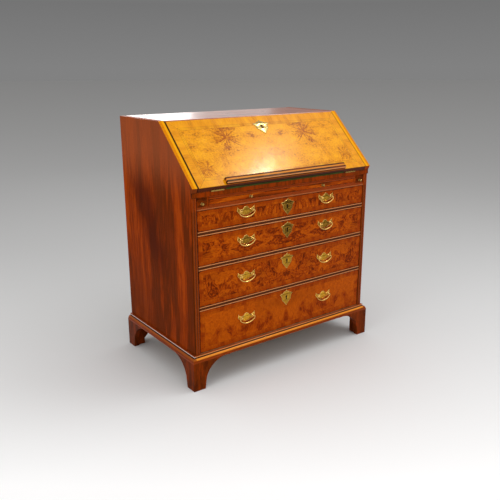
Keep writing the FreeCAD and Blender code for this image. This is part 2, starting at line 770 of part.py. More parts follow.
def bail():
    """Drop handle, hanging. Its pinned ends enter the post heads from outside."""
    y = -bail_plane()
    shoulder_x = BAIL_HALF_WIDTH - BAIL_SHOULDER_RADIUS
    elbow_x = BAIL_HALF_WIDTH - BAIL_ELBOW_RADIUS
    shoulder_drop = BAIL_DROP - BAIL_ELBOW_RADIUS
    flat_squares = shoulder_x ** 2 + shoulder_drop ** 2 - BAIL_SHOULDER_RADIUS ** 2
    belly_radius = flat_squares / (2 * (shoulder_drop - BAIL_SHOULDER_RADIUS))
    belly_z = belly_radius - BAIL_DROP
    turn = math.atan2(shoulder_x, belly_z + BAIL_ELBOW_RADIUS)
    start = turn - math.pi / 2
    half_turn = start / 2

    def on_shoulder(angle):
        return (
            shoulder_x + BAIL_SHOULDER_RADIUS * math.cos(angle),
            -BAIL_ELBOW_RADIUS + BAIL_SHOULDER_RADIUS * math.sin(angle),
        )

    elbow_middle = (
        elbow_x + BAIL_ELBOW_RADIUS * DIAGONAL,
        -BAIL_ELBOW_RADIUS + BAIL_ELBOW_RADIUS * DIAGONAL,
    )
    elbow_end = (BAIL_HALF_WIDTH, -BAIL_ELBOW_RADIUS)
    points = [(elbow_x, 0.0), elbow_middle, elbow_end, on_shoulder(half_turn), on_shoulder(start)]
    right = [Vector(a, y, b) for a, b in points]
    left = [Vector(-point.x, point.y, point.z) for point in right]
    arcs = [
        Part.Arc(*right[0:3]).toShape(),
        Part.Arc(*right[2:5]).toShape(),
        Part.Arc(right[4], Vector(0, y, -BAIL_DROP), left[4]).toShape(),
        Part.Arc(left[4], left[3], left[2]).toShape(),
        Part.Arc(left[2], left[1], left[0]).toShape(),
    ]
    ring = Part.Wire(Part.Circle(right[0], ALONG_X, BAIL_RADIUS).toShape())
    loop = Part.Wire(arcs).makePipeShell([ring], True, False)
    pin = round_x(BAIL_PIN_RADIUS, (POST_SPREAD / 2, elbow_x), y, 0.0)
    return loop.fuse(pair(pin)).removeSplitter()


def handle_solids():
    """Plate, two posts and two nuts of one handle."""
    posts = [handle_post(x) for x in post_middles()]
    nuts = [handle_nut(x) for x in post_middles()]
    return [bat_wing_plate()] + posts + nuts


# Long drawers

def drawer_front(floor, top):
    front_y = (FRONT, FRONT + DRAWER_FRONT_THICKNESS)
    half = INNER_HALF - DRAWER_SIDE_GAP
    front = box(across(half), front_y, (floor + RUNNING_GAP, top - DRAWER_TOP_GAP))
    front = front.cut(drawer_lock_case(top))
    front = front.cut(keyhole(front_y).translated(Vector(0, 0, top - KEY_DROP)))
    level = Vector(0, 0, handle_level(floor, top))
    for handle_x in (-HANDLE_SPREAD / 2, HANDLE_SPREAD / 2):
        for post_x in post_middles():
            front = front.cut(post_hole(handle_x + post_x, front_y).translated(level))
    return front


def handle_level(floor, top):
    return (floor + top) / 2 + HANDLE_RISE


def drawer_box(floor, top):
    """Drawer linings: two sides, a bottom between them and a lower back standing on the bottom."""
    outer = INNER_HALF - DRAWER_SIDE_GAP
    inner = outer - DRAWER_SIDE_THICKNESS
    near = FRONT + DRAWER_FRONT_THICKNESS
    far = FRONT + DRAWER_LENGTH
    side_top = top - DRAWER_SIDE_DROP
    bottom_low = floor + DRAWER_BOTTOM_LIFT
    bottom_top = bottom_low + DRAWER_BOTTOM_THICKNESS
    side = box((inner, outer), (near, far), (floor + RUNNING_GAP, side_top))
    bottom = box(across(inner), (near, far), (bottom_low, bottom_top))
    back = box(across(inner), (far - DRAWER_SIDE_THICKNESS, far), (bottom_top, side_top - DRAWER_BACK_DROP))
    return pair(side) + [bottom, back]


def drawer_lock_case(top):
    """Box lock let into the back of a drawer front, flush with its upper edge."""
    inside = FRONT + DRAWER_FRONT_THICKNESS
    upper = top - DRAWER_TOP_GAP
    return box(across(LOCK_WIDTH / 2), (inside - LOCK_DEPTH, inside), (upper - LOCK_HEIGHT, upper))


def save_drawer(number, floor, top):
    name = "drawer_" + str(number) + "_"
    level = handle_level(floor, top)
    escutcheon = shield(ESCUTCHEON_WIDTH, ESCUTCHEON_RISE, ESCUTCHEON_DROP)
    plates = []
    for side, x in (("left", -HANDLE_SPREAD / 2), ("right", HANDLE_SPREAD / 2)):
        place = Vector(x, FRONT, level)
        plates += [solid.translated(place) for solid in handle_solids()]
        save(name + "bail_" + side, bail().translated(place))
    save(name + "front", drawer_front(floor, top))
    save(name + "linings", *drawer_box(floor, top))
    save(name + "handle_plates", *plates)
    save(name + "lock", drawer_lock_case(top), escutcheon.translated(Vector(0, FRONT, top - KEY_DROP)))


# Fall, modelled flat: Y is the distance up the slope and Z the distance out from the inner face

def fall_edge(out):
    """Distance up the slope of the bevelled lower edge, at a distance out from the inner face."""
    return FALL_END_GAP + FALL_EDGE_BEVEL * out / FALL_THICKNESS


def fall_lining_solid():
    """Leather on the inner face that wraps round the lower edge."""
    inner_start = fall_edge(LINING_THICKNESS) + LINING_THICKNESS
    return prism(
        "x", across(LINING_WIDTH / 2),
        (fall_edge(0.0), 0.0),
        (fall_edge(LINING_WRAP), LINING_WRAP),
        (fall_edge(LINING_WRAP) + LINING_THICKNESS, LINING_WRAP),
        (inner_start, LINING_THICKNESS),
        (FALL_LINING_LENGTH, LINING_THICKNESS),
        (FALL_LINING_LENGTH, 0.0),
    )


def fall_lock_case():
    return box(across(FALL_LOCK_WIDTH / 2), (FALL_TOP - FALL_LOCK_HEIGHT, FALL_TOP), (0.0, FALL_LOCK_DEPTH))


def flat_on_fall(shape):
    """Lay a plate, modelled upright about its keyhole, on the fall's outer face."""
    laid = shape.rotated(ORIGIN, ALONG_X, -90)
    return laid.translated(Vector(0, FALL_KEY, FALL_THICKNESS))


def fall_panel():
    panel = prism(
        "x", across(FALL_HALF),
        (fall_edge(0.0), 0.0),
        (FALL_TOP, 0.0),
        (FALL_TOP, FALL_THICKNESS),
        (fall_edge(FALL_THICKNESS), FALL_THICKNESS),
    )
    cuts = [fall_lining_solid(), fall_lock_case(), flat_on_fall(keyhole((0.0, FALL_THICKNESS)))]
    for x in hinge_middles():
        cuts += [moving_leaf_plate(x), hinge_barrel_space(x)]
    for piece in cuts:
        panel = panel.cut(piece)
    return panel


def book_rest():
    """Moulding that stops a book from sliding off the closed fall."""
    low = fall_edge(FALL_THICKNESS) + BOOK_REST_START
    high = low + BOOK_REST_WIDTH
    base = FALL_THICKNESS
    crown = base + BOOK_REST_RISE
    nose = BOOK_REST_NOSE
    bend = nose * (1 - DIAGONAL)
    return prism(
        "x", across(BOOK_REST_LENGTH / 2),
        (low, base),
        (low, crown - 2 * nose),
        ((low + bend, crown - nose - bend), (low + nose, crown - nose)),
        (low + nose, crown),
        (high - nose, crown),
        ((high - bend, crown - bend), (high, crown - nose)),
        (high, base),
    )


def fall_escutcheon():
    return flat_on_fall(shield(FALL_ESCUTCHEON_WIDTH, FALL_ESCUTCHEON_RISE, FALL_ESCUTCHEON_DROP))


# Fall hinges, about the hinge line

def knuckle_room(x_span):
    """Room round a knuckle that turns."""
    low, high = x_span
    return round_x(KNUCKLE_RADIUS + KNUCKLE_GAP, (low - KNUCKLE_GAP, high + KNUCKLE_GAP), 0.0, 0.0)


def hinge_barrel_space(x):
    """Room for the knuckles, cut from the rail and from the fall."""
    return knuckle_room(hinge_span(x))


def hinge_span(x):
    return (x - HINGE_LENGTH / 2, x + HINGE_LENGTH / 2)


def middle_knuckle_span(x):
    half = HINGE_LENGTH / 6
    return (x - half + KNUCKLE_GAP, x + half - KNUCKLE_GAP)


def outer_knuckle_spans(x):
    low, high = hinge_span(x)
    third = HINGE_LENGTH / 3
    return ((low, low + third), (high - third, high))


def fixed_leaf_plate(x):
    level = (WRITING_LEVEL - HINGE_LEAF_THICKNESS, WRITING_LEVEL)
    return box(hinge_span(x), (HINGE_Y, HINGE_Y + HINGE_LEAF_WIDTH), level)


def moving_leaf_plate(x):
    return box(hinge_span(x), (0.0, HINGE_LEAF_WIDTH), (0.0, HINGE_LEAF_THICKNESS))


def fixed_hinge_leaf(x):
    """Leaf in the rail, with the outer knuckles and the pin."""
    room = knuckle_room(middle_knuckle_span(x)).translated(Vector(0, HINGE_Y, WRITING_LEVEL))
    barrel = [round_x(KNUCKLE_RADIUS, span, HINGE_Y, WRITING_LEVEL) for span in outer_knuckle_spans(x)]
    pin = round_x(HINGE_PIN_RADIUS, hinge_span(x), HINGE_Y, WRITING_LEVEL)
    return fixed_leaf_plate(x).fuse(barrel).cut(room).fuse(pin)


def moving_hinge_leaf(x):
    """Leaf in the fall, with the middle knuckle."""
    leaf = moving_leaf_plate(x)
    for span in outer_knuckle_spans(x):
        leaf = leaf.cut(knuckle_room(span))
    leaf = leaf.fuse(round_x(KNUCKLE_RADIUS, middle_knuckle_span(x), 0.0, 0.0))
    return leaf.cut(round_x(HINGE_PIN_RADIUS + HINGE_PIN_CLEARANCE, hinge_span(x), 0.0, 0.0))


# Fitted interior

def interior_shelf_level():
    return WRITING_LEVEL + INTERIOR_BOARD + SMALL_DRAWER_HEIGHT


def side_bay_width():
    inside = INNER_HALF - INTERIOR_SIDE_GAP - INTERIOR_BOARD
    return inside - CENTRE_BAY_WIDTH / 2 - INTERIOR_BOARD


def pigeonhole_spans():
    """X spans of the pigeonholes to the right of the centre bay."""
    width = (side_bay_width() - INTERIOR_DIVIDER * (SIDE_PIGEONHOLES - 1)) / SIDE_PIGEONHOLES
    start = CENTRE_BAY_WIDTH / 2 + INTERIOR_BOARD
    step = width + INTERIOR_DIVIDER
    return [(start + index * step, start + index * step + width) for index in range(SIDE_PIGEONHOLES)]


def valance(x_span):
    """Board with an arched lower edge, at the head of a pigeonhole."""
    left, right = x_span
    middle = (left + right) / 2
    low = TOP_UNDERSIDE - VALANCE_HEIGHT
    return prism(
        "y", (INTERIOR_FRONT, INTERIOR_FRONT + VALANCE_THICKNESS),
        (left, TOP_UNDERSIDE),
        (left, low),
        ((middle, TOP_UNDERSIDE - VALANCE_CROWN), (right, low)),
        (right, TOP_UNDERSIDE),
    )


def pigeonholes():
    """Fixed boards of the interior: base, shelf, uprights, pigeonhole dividers and valances."""
    depth = (INTERIOR_FRONT, BACK_INNER)
    outer = INNER_HALF - INTERIOR_SIDE_GAP
    inside = outer - INTERIOR_BOARD
    shelf_low = interior_shelf_level()
    shelf_top = shelf_low + INTERIOR_BOARD
    base_top = WRITING_LEVEL + INTERIOR_BOARD
    centre = CENTRE_BAY_WIDTH / 2
    boards = [
        box(across(inside), depth, (WRITING_LEVEL, base_top)),
        box(across(inside), depth, (shelf_low, shelf_top)),
        valance(across(centre)),
    ]
    boards += pair(box((inside, outer), depth, (WRITING_LEVEL, TOP_UNDERSIDE)))
    boards += pair(box((centre, centre + INTERIOR_BOARD), depth, (shelf_top, TOP_UNDERSIDE)))
    boards += pair(box((centre, centre + INTERIOR_BOARD), depth, (base_top, shelf_low)))
    for span in pigeonhole_spans():
        boards += pair(valance(span))
    for _, right in pigeonhole_spans()[:-1]:
        boards += pair(box((right, right + INTERIOR_DIVIDER), depth, (shelf_top, TOP_UNDERSIDE)))
    return boards


def small_drawer(left, right):
    """Interior drawer in a bay: front, two sides, back, bottom and a knob."""
    outer = (left + SMALL_DRAWER_GAP, right - SMALL_DRAWER_GAP)
    inner = (outer[0] + SMALL_DRAWER_BOARD, outer[1] - SMALL_DRAWER_BOARD)
    near = INTERIOR_FRONT + SMALL_DRAWER_FRONT
    far = INTERIOR_FRONT + SMALL_DRAWER_LENGTH
    low = WRITING_LEVEL + INTERIOR_BOARD + RUNNING_GAP
    top = interior_shelf_level() - SMALL_DRAWER_GAP
    floor = low + SMALL_DRAWER_BOARD
    middle_x = (left + right) / 2
    middle_z = (low + top) / 2
    front = box(outer, (INTERIOR_FRONT, near), (low, top)).cut(knob_hole(middle_x, INTERIOR_FRONT, middle_z))
    return [
        front,
        box((outer[0], inner[0]), (near, far), (low, top)),
        box((inner[1], outer[1]), (near, far), (low, top)),
        box(inner, (near, far), (low, floor)),
        box(inner, (far - SMALL_DRAWER_BOARD, far), (floor, top)),
        knob(middle_x, INTERIOR_FRONT, middle_z),
    ]


def save_carcase():
    side = side_board()
    save("left_side", mirrored(side))
    save("right_side", side)
    save("top_board", top_board())
    save("back_boards", *back_boards())
    save("bottom_board", bottom_board())
    save("drawer_rails", *drawer_rails())
    save("drawer_runners", *drawer_runners())
    save("dust_boards", *dust_boards())
    save("stile_beads", *pair(stile_bead()))
    save("loper_partitions", *loper_partitions())
    save("waist_moulding", waist_moulding())
    save("waist_rail", waist_rail())
    save("writing_bed", writing_bed())
    save("bed_lining", bed_lining_solid())
    save("base_mouldings", *base_mouldings())
    save("foot_front_left", *[mirrored(solid) for solid in front_foot()])
    save("foot_front_right", *front_foot())
    save("foot_back_left", *[mirrored(solid) for solid in back_foot()])
    save("foot_back_right", *back_foot())
    save("hinge_fixed_leaves", *[fixed_hinge_leaf(x) for x in hinge_middles()])


def save_sliding_supports():
    bar = loper()
    grip = knob(loper_middle(), FRONT, loper_knob_level())
    save("loper_left", mirrored(bar))
    save("loper_right", bar)
    save("loper_knob_left", mirrored(grip))
    save("loper_knob_right", grip)
    save("brushing_slide", brushing_slide())
    save("slide_knobs", *pair(knob(SLIDE_KNOB_SPREAD / 2, FRONT, slide_knob_level())))


def save_fall():
    save("fall_panel", tilt(fall_panel()))
    save("book_rest", tilt(book_rest()))
    save("fall_escutcheon", tilt(fall_escutcheon()))
    save("fall_lock", tilt(fall_lock_case()))
    save("fall_lining", tilt(fall_lining_solid()))
    save("hinge_moving_leaves", *[tilt(moving_hinge_leaf(x)) for x in hinge_middles()])


def save_interior():
    start = CENTRE_BAY_WIDTH / 2 + INTERIOR_BOARD
    end = start + side_bay_width()
    save("pigeonholes", *pigeonholes())
    save("small_drawer_left", *small_drawer(-end, -start))
    save("small_drawer_centre", *small_drawer(-CENTRE_BAY_WIDTH / 2, CENTRE_BAY_WIDTH / 2))
    save("small_drawer_right", *small_drawer(start, end))


def main():
    os.makedirs("parts", exist_ok=True)
    save_carcase()
    save_sliding_supports()
    save_fall()
    save_interior()
    for number, (floor, top) in enumerate(drawer_openings(), start=1):
        save_drawer(number, floor, top)
    print("slope angle", round(math.degrees(SLOPE_ANGLE), 3), "writing level", WRITING_LEVEL)


main()
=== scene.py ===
import inspect
import json
import math

import bmesh
import bpy
from mathutils import Matrix, Vector


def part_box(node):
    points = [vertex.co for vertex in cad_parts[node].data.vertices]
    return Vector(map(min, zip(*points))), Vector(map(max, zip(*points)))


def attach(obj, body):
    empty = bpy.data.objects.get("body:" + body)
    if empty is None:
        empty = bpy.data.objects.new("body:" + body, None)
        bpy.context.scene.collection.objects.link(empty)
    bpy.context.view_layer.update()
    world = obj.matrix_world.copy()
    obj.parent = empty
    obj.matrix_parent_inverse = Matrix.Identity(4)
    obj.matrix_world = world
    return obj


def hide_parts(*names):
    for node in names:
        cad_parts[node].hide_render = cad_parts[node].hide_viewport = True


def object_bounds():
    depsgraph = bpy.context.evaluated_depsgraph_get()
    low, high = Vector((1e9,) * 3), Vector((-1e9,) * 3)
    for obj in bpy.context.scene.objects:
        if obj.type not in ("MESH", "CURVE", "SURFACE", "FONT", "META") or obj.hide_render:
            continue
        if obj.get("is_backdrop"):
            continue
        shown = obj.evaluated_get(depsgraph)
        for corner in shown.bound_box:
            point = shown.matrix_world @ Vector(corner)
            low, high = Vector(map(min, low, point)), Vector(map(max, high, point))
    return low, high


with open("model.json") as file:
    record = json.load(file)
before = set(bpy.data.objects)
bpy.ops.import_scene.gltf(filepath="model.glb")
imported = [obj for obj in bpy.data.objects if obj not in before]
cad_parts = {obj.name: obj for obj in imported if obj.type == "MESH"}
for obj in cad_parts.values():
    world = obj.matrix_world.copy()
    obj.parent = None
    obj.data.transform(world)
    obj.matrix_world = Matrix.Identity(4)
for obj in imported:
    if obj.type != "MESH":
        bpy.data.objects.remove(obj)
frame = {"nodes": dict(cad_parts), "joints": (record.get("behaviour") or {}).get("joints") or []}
CAD_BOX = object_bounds()

bl_info = {
    "name": "Walnut slope-front bureau",
    "version": (1, 0, 0),
    "blender": (4, 5, 0),
    "location": "3D View > Sidebar > Bureau",
    "description": "Veneers, brass furniture and studio for a walnut slope-front bureau",
    "category": "Object",
}

DRAWERS = ("drawer_1", "drawer_2", "drawer_3", "drawer_4")
HANDS = {"left": -1, "right": 1}
QUARTER = math.radians(90)
UPRIGHT = Matrix.Rotation(QUARTER, 4, "X")
HALF_TURN = Matrix.Rotation(math.pi, 4, "Z")
SHARP_ANGLE = math.radians(40)
MERGE_DISTANCE = 1e-6

# Turn that brings the grain's axis to Y

GRAIN_TURN = {"x": (0, 0, QUARTER), "y": (0, 0, 0), "z": (-QUARTER, 0, 0)}

# Varnish: how clear and how dull it is in patches, how strongly it shines, and the wax over it

VARNISH_TINT = (1.0, 0.55, 0.07, 1.0)
POLISH = {
    "raw": {"clear": 0.6, "dull": 0.8, "shine": 0.2, "wax": 0.0, "blur": 0.3},
    "case": {"clear": 0.34, "dull": 0.5, "shine": 0.015, "wax": 0.0, "blur": 0.3},
    "rubbed": {"clear": 0.34, "dull": 0.5, "shine": 0.07, "wax": 0.0, "blur": 0.3},
    "waxed": {"clear": 0.28, "dull": 0.42, "shine": 0.25, "wax": 0.05, "blur": 0.2},
    "fall": {"clear": 0.2, "dull": 0.3, "shine": 0.12, "wax": 0.035, "blur": 0.14},
    "top": {"clear": 0.26, "dull": 0.38, "shine": 0.5, "wax": 0.9, "blur": 0.3},
}

# Figure of each drawer front from the top one: how tight it is across and up, and how smoky and light

DRAWER_FIGURE = (
    dict(across=34.0, up=16.0, rings=15.0, warp=1.6, smoke=0.55, contrast=1.4, light=0.02),
    dict(across=13.0, up=20.0, rings=13.0, warp=0.9, smoke=0.65, contrast=1.4, light=0.05),
    dict(across=20.0, up=18.0, rings=16.0, warp=1.4, smoke=0.6, contrast=1.35, light=0.065),
    dict(across=18.0, up=13.0, rings=6.0, warp=1.2, smoke=0.3, contrast=0.8, light=0.12),
)

# Beads of the front: grain, how far they stand out, and the colour and strength of the painted highlight on
# their crests and of the painted shade in their grooves

BEADS = {
    "drawer_rails": dict(
        name="Beaded rail", axis="x", seed=5.0, across=60.0,
        rise=0.0025, shade="bead", crest=0.95, groove=0.78,
    ),
    "waist_moulding": dict(
        name="Waist moulding", axis="x", seed=5.2, across=60.0,
        rise=0.003, shade="drawer_light", crest=0.6, groove=0.0,
    ),
    "stile_beads": dict(
        name="Beaded stile", axis="z", seed=6.0, across=70.0,
        rise=0.004, shade="case_dark", crest=0.6, groove=0.95,
    ),
}

# Heart streak of the sides: height of its middle, how it leans back as it rises, and where it starts

HEART_LEVEL = 0.62
HEART_LEAN = 0.42
HEART_FOOT = -0.2

# Gilt lines from the edge of the leather, and the painted highlight band from the lower edge of the book rest

THICK_GILT_LINE = 0.014
THIN_GILT_LINE = 0.02
REST_BAND = 0.0135

# Joinery that only the finish shows: back boards and their nails, and dovetails; and the radius of the
# painted shade behind a keyhole

BACK_BOARDS = 3
NAIL_SPACING = 0.26
NAIL_SHARE = 0.42
KEYHOLE_RADIUS = 0.017
DOVETAIL_PITCH = 0.034
DOVETAIL_LAP = 0.006
DOVETAIL_FLARE = 14.0
DOVETAIL_SHARE = 0.8

# How dark the brass is: round the middle of the plates, from the top drawer down, and on knobs and hinges

PLATE_DIRT = (0.7, 0.9, 0.45, 0.15)
ESCUTCHEON_DIRT = (1.0, 1.0, 0.65, 0.55)
FALL_DIRT = 0.55
KNOB_DIRT = 0.6

# Camera and floor: the floor pales toward the camera, a painted fall-off of light, as FLOOR_FALL over the
# distance plus FLOOR_LEAST

VIEW_YAW = 36.57
VIEW_PITCH = 16.61
VIEW_ROLL = -0.13
VIEW_PLACE = (-1.578, -2.134, 1.219)
VIEW_LENS = 44.25
SENSOR_WIDTH = 36.0
FLOOR_RADIUS = 60.0
FLOOR_START = 2.654
FLOOR_NEAREST = 1.3
FLOOR_FALL = 1.17
FLOOR_LEAST = 0.262
BACKDROP_SHADE = 0.8

# Lamps: place, target, width and height, power, and the kind of light that they don't give

LAMPS = {
    "key lamp": ((1.75, -0.75, 3.3), (-0.1, -0.2, 0.8), (2.2, 2.2), 32.0, "glossy"),
    "glint lamp": ((1.75, -0.75, 3.3), (-0.1, -0.2, 0.8), (0.2, 0.14), 42.0, "diffuse"),
    "front lamp": ((0.8, -5.0, 2.6), (0.0, -0.2, 0.5), (3.0, 2.0), 44.0, None),
    "back window": ((1.5, 5.0, 1.7), (0.0, 0.0, 1.0), (2.2, 1.4), 30.0, "diffuse"),
    "back screen": ((3.3, 5.0, 1.7), (0.5, 0.0, 1.0), (1.3, 1.4), 3.6, "diffuse"),
    "left lamp": ((-4.5, -1.0, 2.4), (-0.45, 0.0, 0.5), (2.0, 2.0), 34.0, "glossy"),
}


# Settings that a user would change

def length(name, description, default):
    return bpy.props.FloatProperty(
        name=name, description=description, default=default, unit="LENGTH", precision=4
    )


def colour(name, description, *default):
    return bpy.props.FloatVectorProperty(
        name=name, description=description, default=(*default, 1.0), size=4, min=0.0, max=1.0, subtype="COLOR"
    )


class BureauSizes(bpy.types.PropertyGroup):
    """Sizes of the veneer borders and the brass furniture."""

    fall_thickness: length("Fall thickness", "Thickness of the sloping fall", 0.019)
    fall_crossband: length("Fall crossband", "Width of the crossbanded border of the fall", 0.036)
    fall_feather: length("Fall feather band", "Width of the herringbone band on the fall", 0.011)
    top_crossband: length("Top crossband", "Width of the crossbanded border of the top", 0.034)
    top_feather: length("Top feather band", "Width of the herringbone band on the top", 0.01)
    drawer_crossband: length("Drawer crossband", "Width of the border of a drawer front", 0.011)
    drawer_feather: length("Drawer feather band", "Width of the herringbone band on a drawer front", 0.009)
    star_across: length("Burr star across", "Distance of a burr star from the middle of the fall", 0.2)
    star_up: length("Burr star up", "Distance of a burr star up the slope from the hinge", 0.225)
    star_reach: length("Burr star reach", "Radius of a burr star", 0.085)
    swirl_across: length("Burr swirl across", "Distance of a small swirl from the middle of the fall", 0.355)
    swirl_up: length("Burr swirl up", "Distance of a small swirl up the slope from the hinge", 0.085)
    swirl_reach: length("Burr swirl reach", "Radius of a small swirl", 0.055)
    plate_thickness: length("Plate thickness", "Thickness of the brass plates", 0.0018)
    plate_rounding: length("Plate rounding", "Rounding of the edges of the brass plates", 0.0005)
    plate_border: length("Plate border", "Width of the bevelled border of the brass plates", 0.0013)
    handle_spread: length("Handle spread", "Distance between the two handles of a drawer", 0.42)
    post_spread: length("Post spread", "Distance between the two posts of a handle", 0.055)
    bail_radius: length("Bail radius", "Radius of a drop handle at its middle", 0.0026)
    nut_width: length("Nut width", "Width of a post's square nut inside the drawer", 0.01)
    nut_depth: length("Nut depth", "Thickness of a post's nut", 0.003)
    escutcheon_rise: length("Escutcheon rise", "Height of an escutcheon above its keyhole", 0.031)
    escutcheon_drop: length("Escutcheon drop", "Length of a drawer escutcheon below its keyhole", 0.04)
    lock_width: length("Lock width", "Width of a drawer's lock", 0.06)
    lock_depth: length("Lock depth", "Depth of a drawer's lock", 0.012)
    lock_height: length("Lock height", "Height of a drawer's lock", 0.048)
    knob_length: length("Knob length", "How far a small knob stands out", 0.0128)
    small_front: length("Small drawer front", "Thickness of the front of a small drawer", 0.012)
    small_side: length("Small drawer side", "Thickness of the sides of a small drawer", 0.006)


class BureauColours(bpy.types.PropertyGroup):
    """Colours of the finishes."""

    case_dark: colour("Case dark", "Dark streaks of the side veneer", 0.13, 0.02, 0.0012)
    case_mid: colour("Case middle", "Middle tone of the side veneer", 0.235, 0.029, 0.001)
    case_light: colour("Case light", "Light streaks of the side veneer", 0.38, 0.052, 0.0015)
    case_heart: colour("Case heart", "Dark heart streak of the side veneer", 0.075, 0.009, 0.0012)
    # Painted sheen at the top of the sides
    case_faded: colour("Case faded", "Faded veneer at the top of the sides", 0.37, 0.095, 0.034)
    fall_dark: colour("Fall dark", "Dark figure of the burr veneer", 0.28, 0.06, 0.002)
    fall_mid: colour("Fall middle", "Middle tone of the burr veneer", 0.72, 0.26, 0.003)
    fall_light: colour("Fall light", "Light figure of the burr veneer", 0.92, 0.42, 0.005)
    drawer_dark: colour("Drawer dark", "Dark figure of the drawer veneer", 0.12, 0.013, 0.0007)
    drawer_mid: colour("Drawer middle", "Middle tone of the drawer veneer", 0.29, 0.034, 0.001)
    drawer_light: colour("Drawer light", "Light figure of the drawer veneer", 0.5, 0.092, 0.002)
    # Dark of the back-board joints and nail heads, and of the painted shade in grooves, gaps, edges and under
    # the book rest
    joint: colour("Joint", "Dirt in the joints and grooves", 0.016, 0.004, 0.002)
    pores: colour("Pores", "Tint of the pores of the wood", 0.25, 0.18, 0.12)
    # Painted highlight on the crests of the beads, the bead of the base moulding and the front edge of the
    # book rest
    bead: colour("Bead", "Rubbed crests of the beads", 0.8, 0.34, 0.12)
    # Painted pale reflection on the crest of the base moulding at the sides
    side_bead: colour("Side bead", "Pale crest of the base moulding at the sides", 0.85, 0.74, 0.72)
    # Painted highlight on the ovolo of the base moulding and on the band along the book rest
    moulding: colour("Moulding", "Rubbed base moulding", 0.8, 0.27, 0.025)
    oak_dark: colour("Oak dark", "Dark grain of the oak linings", 0.16, 0.085, 0.035)
    oak_light: colour("Oak light", "Light grain of the oak linings", 0.37, 0.235, 0.115)
    brass: colour("Brass", "Rubbed brass", 0.93, 0.6, 0.16)
    gold: colour("Gold", "Brass of the flats of the plates", 0.8, 0.42, 0.035)
    pale_brass: colour("Pale brass", "Worn plate on the fall", 0.48, 0.36, 0.13)
    tarnish: colour("Tarnish", "Darkened brass in the hollows", 0.085, 0.042, 0.008)
    steel: colour("Steel", "Cases of the locks", 0.09, 0.08, 0.07)
    # Painted shade behind a keyhole, on the drawer front
    keyhole: colour("Keyhole", "Dark inside of a keyhole", 0.002, 0.001, 0.001)
    leather: colour("Leather", "Writing leather", 0.03, 0.042, 0.003)
    faded_leather: colour("Faded leather", "Faded patches of the leather", 0.05, 0.085, 0.018)
    gilt: colour("Gilt", "Tooled lines on the leather", 0.72, 0.47, 0.12)
    floor: colour("Floor", "Floor in front of the bureau", 0.965, 0.975, 0.985)
    backdrop: colour("Backdrop", "Background at the horizon", 0.22, 0.22, 0.22)
    overhead: colour("Overhead light", "Soft light from above", 1.0, 0.98, 0.96)


def settings(context):
    return context.scene.bureau_sizes, context.scene.bureau_colours


def case_tones(colours):
    return colours.case_dark, colours.case_mid, colours.case_light


def drawer_tones(colours):
    return colours.drawer_dark, colours.drawer_mid, colours.drawer_light


def dark_tones(colours):
    return colours.case_heart, colours.case_dark, colours.case_mid


# Values in a node tree

def operation(name, swapped=False):
    """Method of a value that adds math on numbers or vectors. If swapped, the value comes last."""

    def method(self, *others):
        values = (*others, self) if swapped else (self, *others)
        on_numbers = self.socket.type == "VALUE"
        kind = "Math" if on_numbers else "VectorMath"
        output = "Value" if on_numbers or name == "LENGTH" else "Vector"
        return add_node(self.tree, kind, dict(enumerate(values)), output, operation=name)

    return method


class Value:
    """Output of a node. Arithmetic on it adds math nodes to its tree."""

    __add__ = operation("ADD")
    __sub__ = operation("SUBTRACT")
    __rsub__ = operation("SUBTRACT", swapped=True)
    __mul__ = operation("MULTIPLY")
    __truediv__ = operation("DIVIDE")
    __rtruediv__ = operation("DIVIDE", swapped=True)
    __abs__ = operation("ABSOLUTE")
    __lt__ = operation("LESS_THAN")
    at_least = operation("MAXIMUM")
    at_most = operation("MINIMUM")
    pingpong = operation("PINGPONG")
    floor = operation("FLOOR")
    length = operation("LENGTH")
    normalized = operation("NORMALIZE")

    def __init__(self, socket):
        self.socket = socket
        self.tree = socket.id_data

    def step(self, low, high, start=0.0, end=1.0):
        """Smooth change from start to end while the value goes from low to high."""
        inputs = {"Value": self, "From Min": low, "From Max": high, "To Min": start, "To Max": end}
        return add_node(self.tree, "MapRange", inputs, "Result", interpolation_type="SMOOTHSTEP")

    def fade(self, low, high, start=1.0):
        """Smooth change from start to nothing while the value goes from low to high."""
        return self.step(low, high, start, 0.0)

    def band(self, start, full, fading, gone):
        """One from full to fading, and nothing before start and after gone."""
        return self.step(start, full) - self.step(fading, gone)

    def ramp(self, positions, shades):
        """Colour from the value, which has each shade at its position."""
        node = self.tree.nodes.new("ShaderNodeValToRGB")
        feed(node.inputs["Fac"], self)
        elements = node.color_ramp.elements
        while len(elements) < len(positions):
            elements.new(1.0)
        for element, position, shade in zip(elements, positions, shades):
            element.position = position
            element.color = shade
        return Value(node.outputs["Color"])


def feed(socket, value):
    """Give a socket a constant, or a link from a value."""
    if isinstance(value, Value):
        value.tree.links.new(value.socket, socket)
    else:
        socket.default_value = value


def add_node(tree, kind, inputs, output, **options):
    """Add a node, feed its inputs and return one of its outputs."""
    node = tree.nodes.new("ShaderNode" + kind)
    for name, value in options.items():
        setattr(node, name, value)
    for name, value in inputs.items():
        feed(node.inputs[name], value)
    return Value(node.outputs[output])


def mix(factor, first, second, blend_type="MIX"):
    inputs = {0: factor, 6: first, 7: second}
    return add_node(factor.tree, "Mix", inputs, 2, data_type="RGBA", blend_type=blend_type)


def noise(vector, scale=1.0, detail=2.0, roughness=0.5, seed=0.0, output="Fac"):
    inputs = {"Vector": vector, "W": seed, "Scale": scale, "Detail": detail, "Roughness": roughness}
    return add_node(vector.tree, "TexNoise", inputs, output, noise_dimensions="4D")


def bump(height, strength, distance):
    inputs = {"Height": height, "Strength": strength, "Distance": distance}
    return add_node(height.tree, "Bump", inputs, "Normal")


def parts(vector):
    node = vector.tree.nodes.new("ShaderNodeSeparateXYZ")
    feed(node.inputs["Vector"], vector)
    return [Value(socket) for socket in node.outputs]


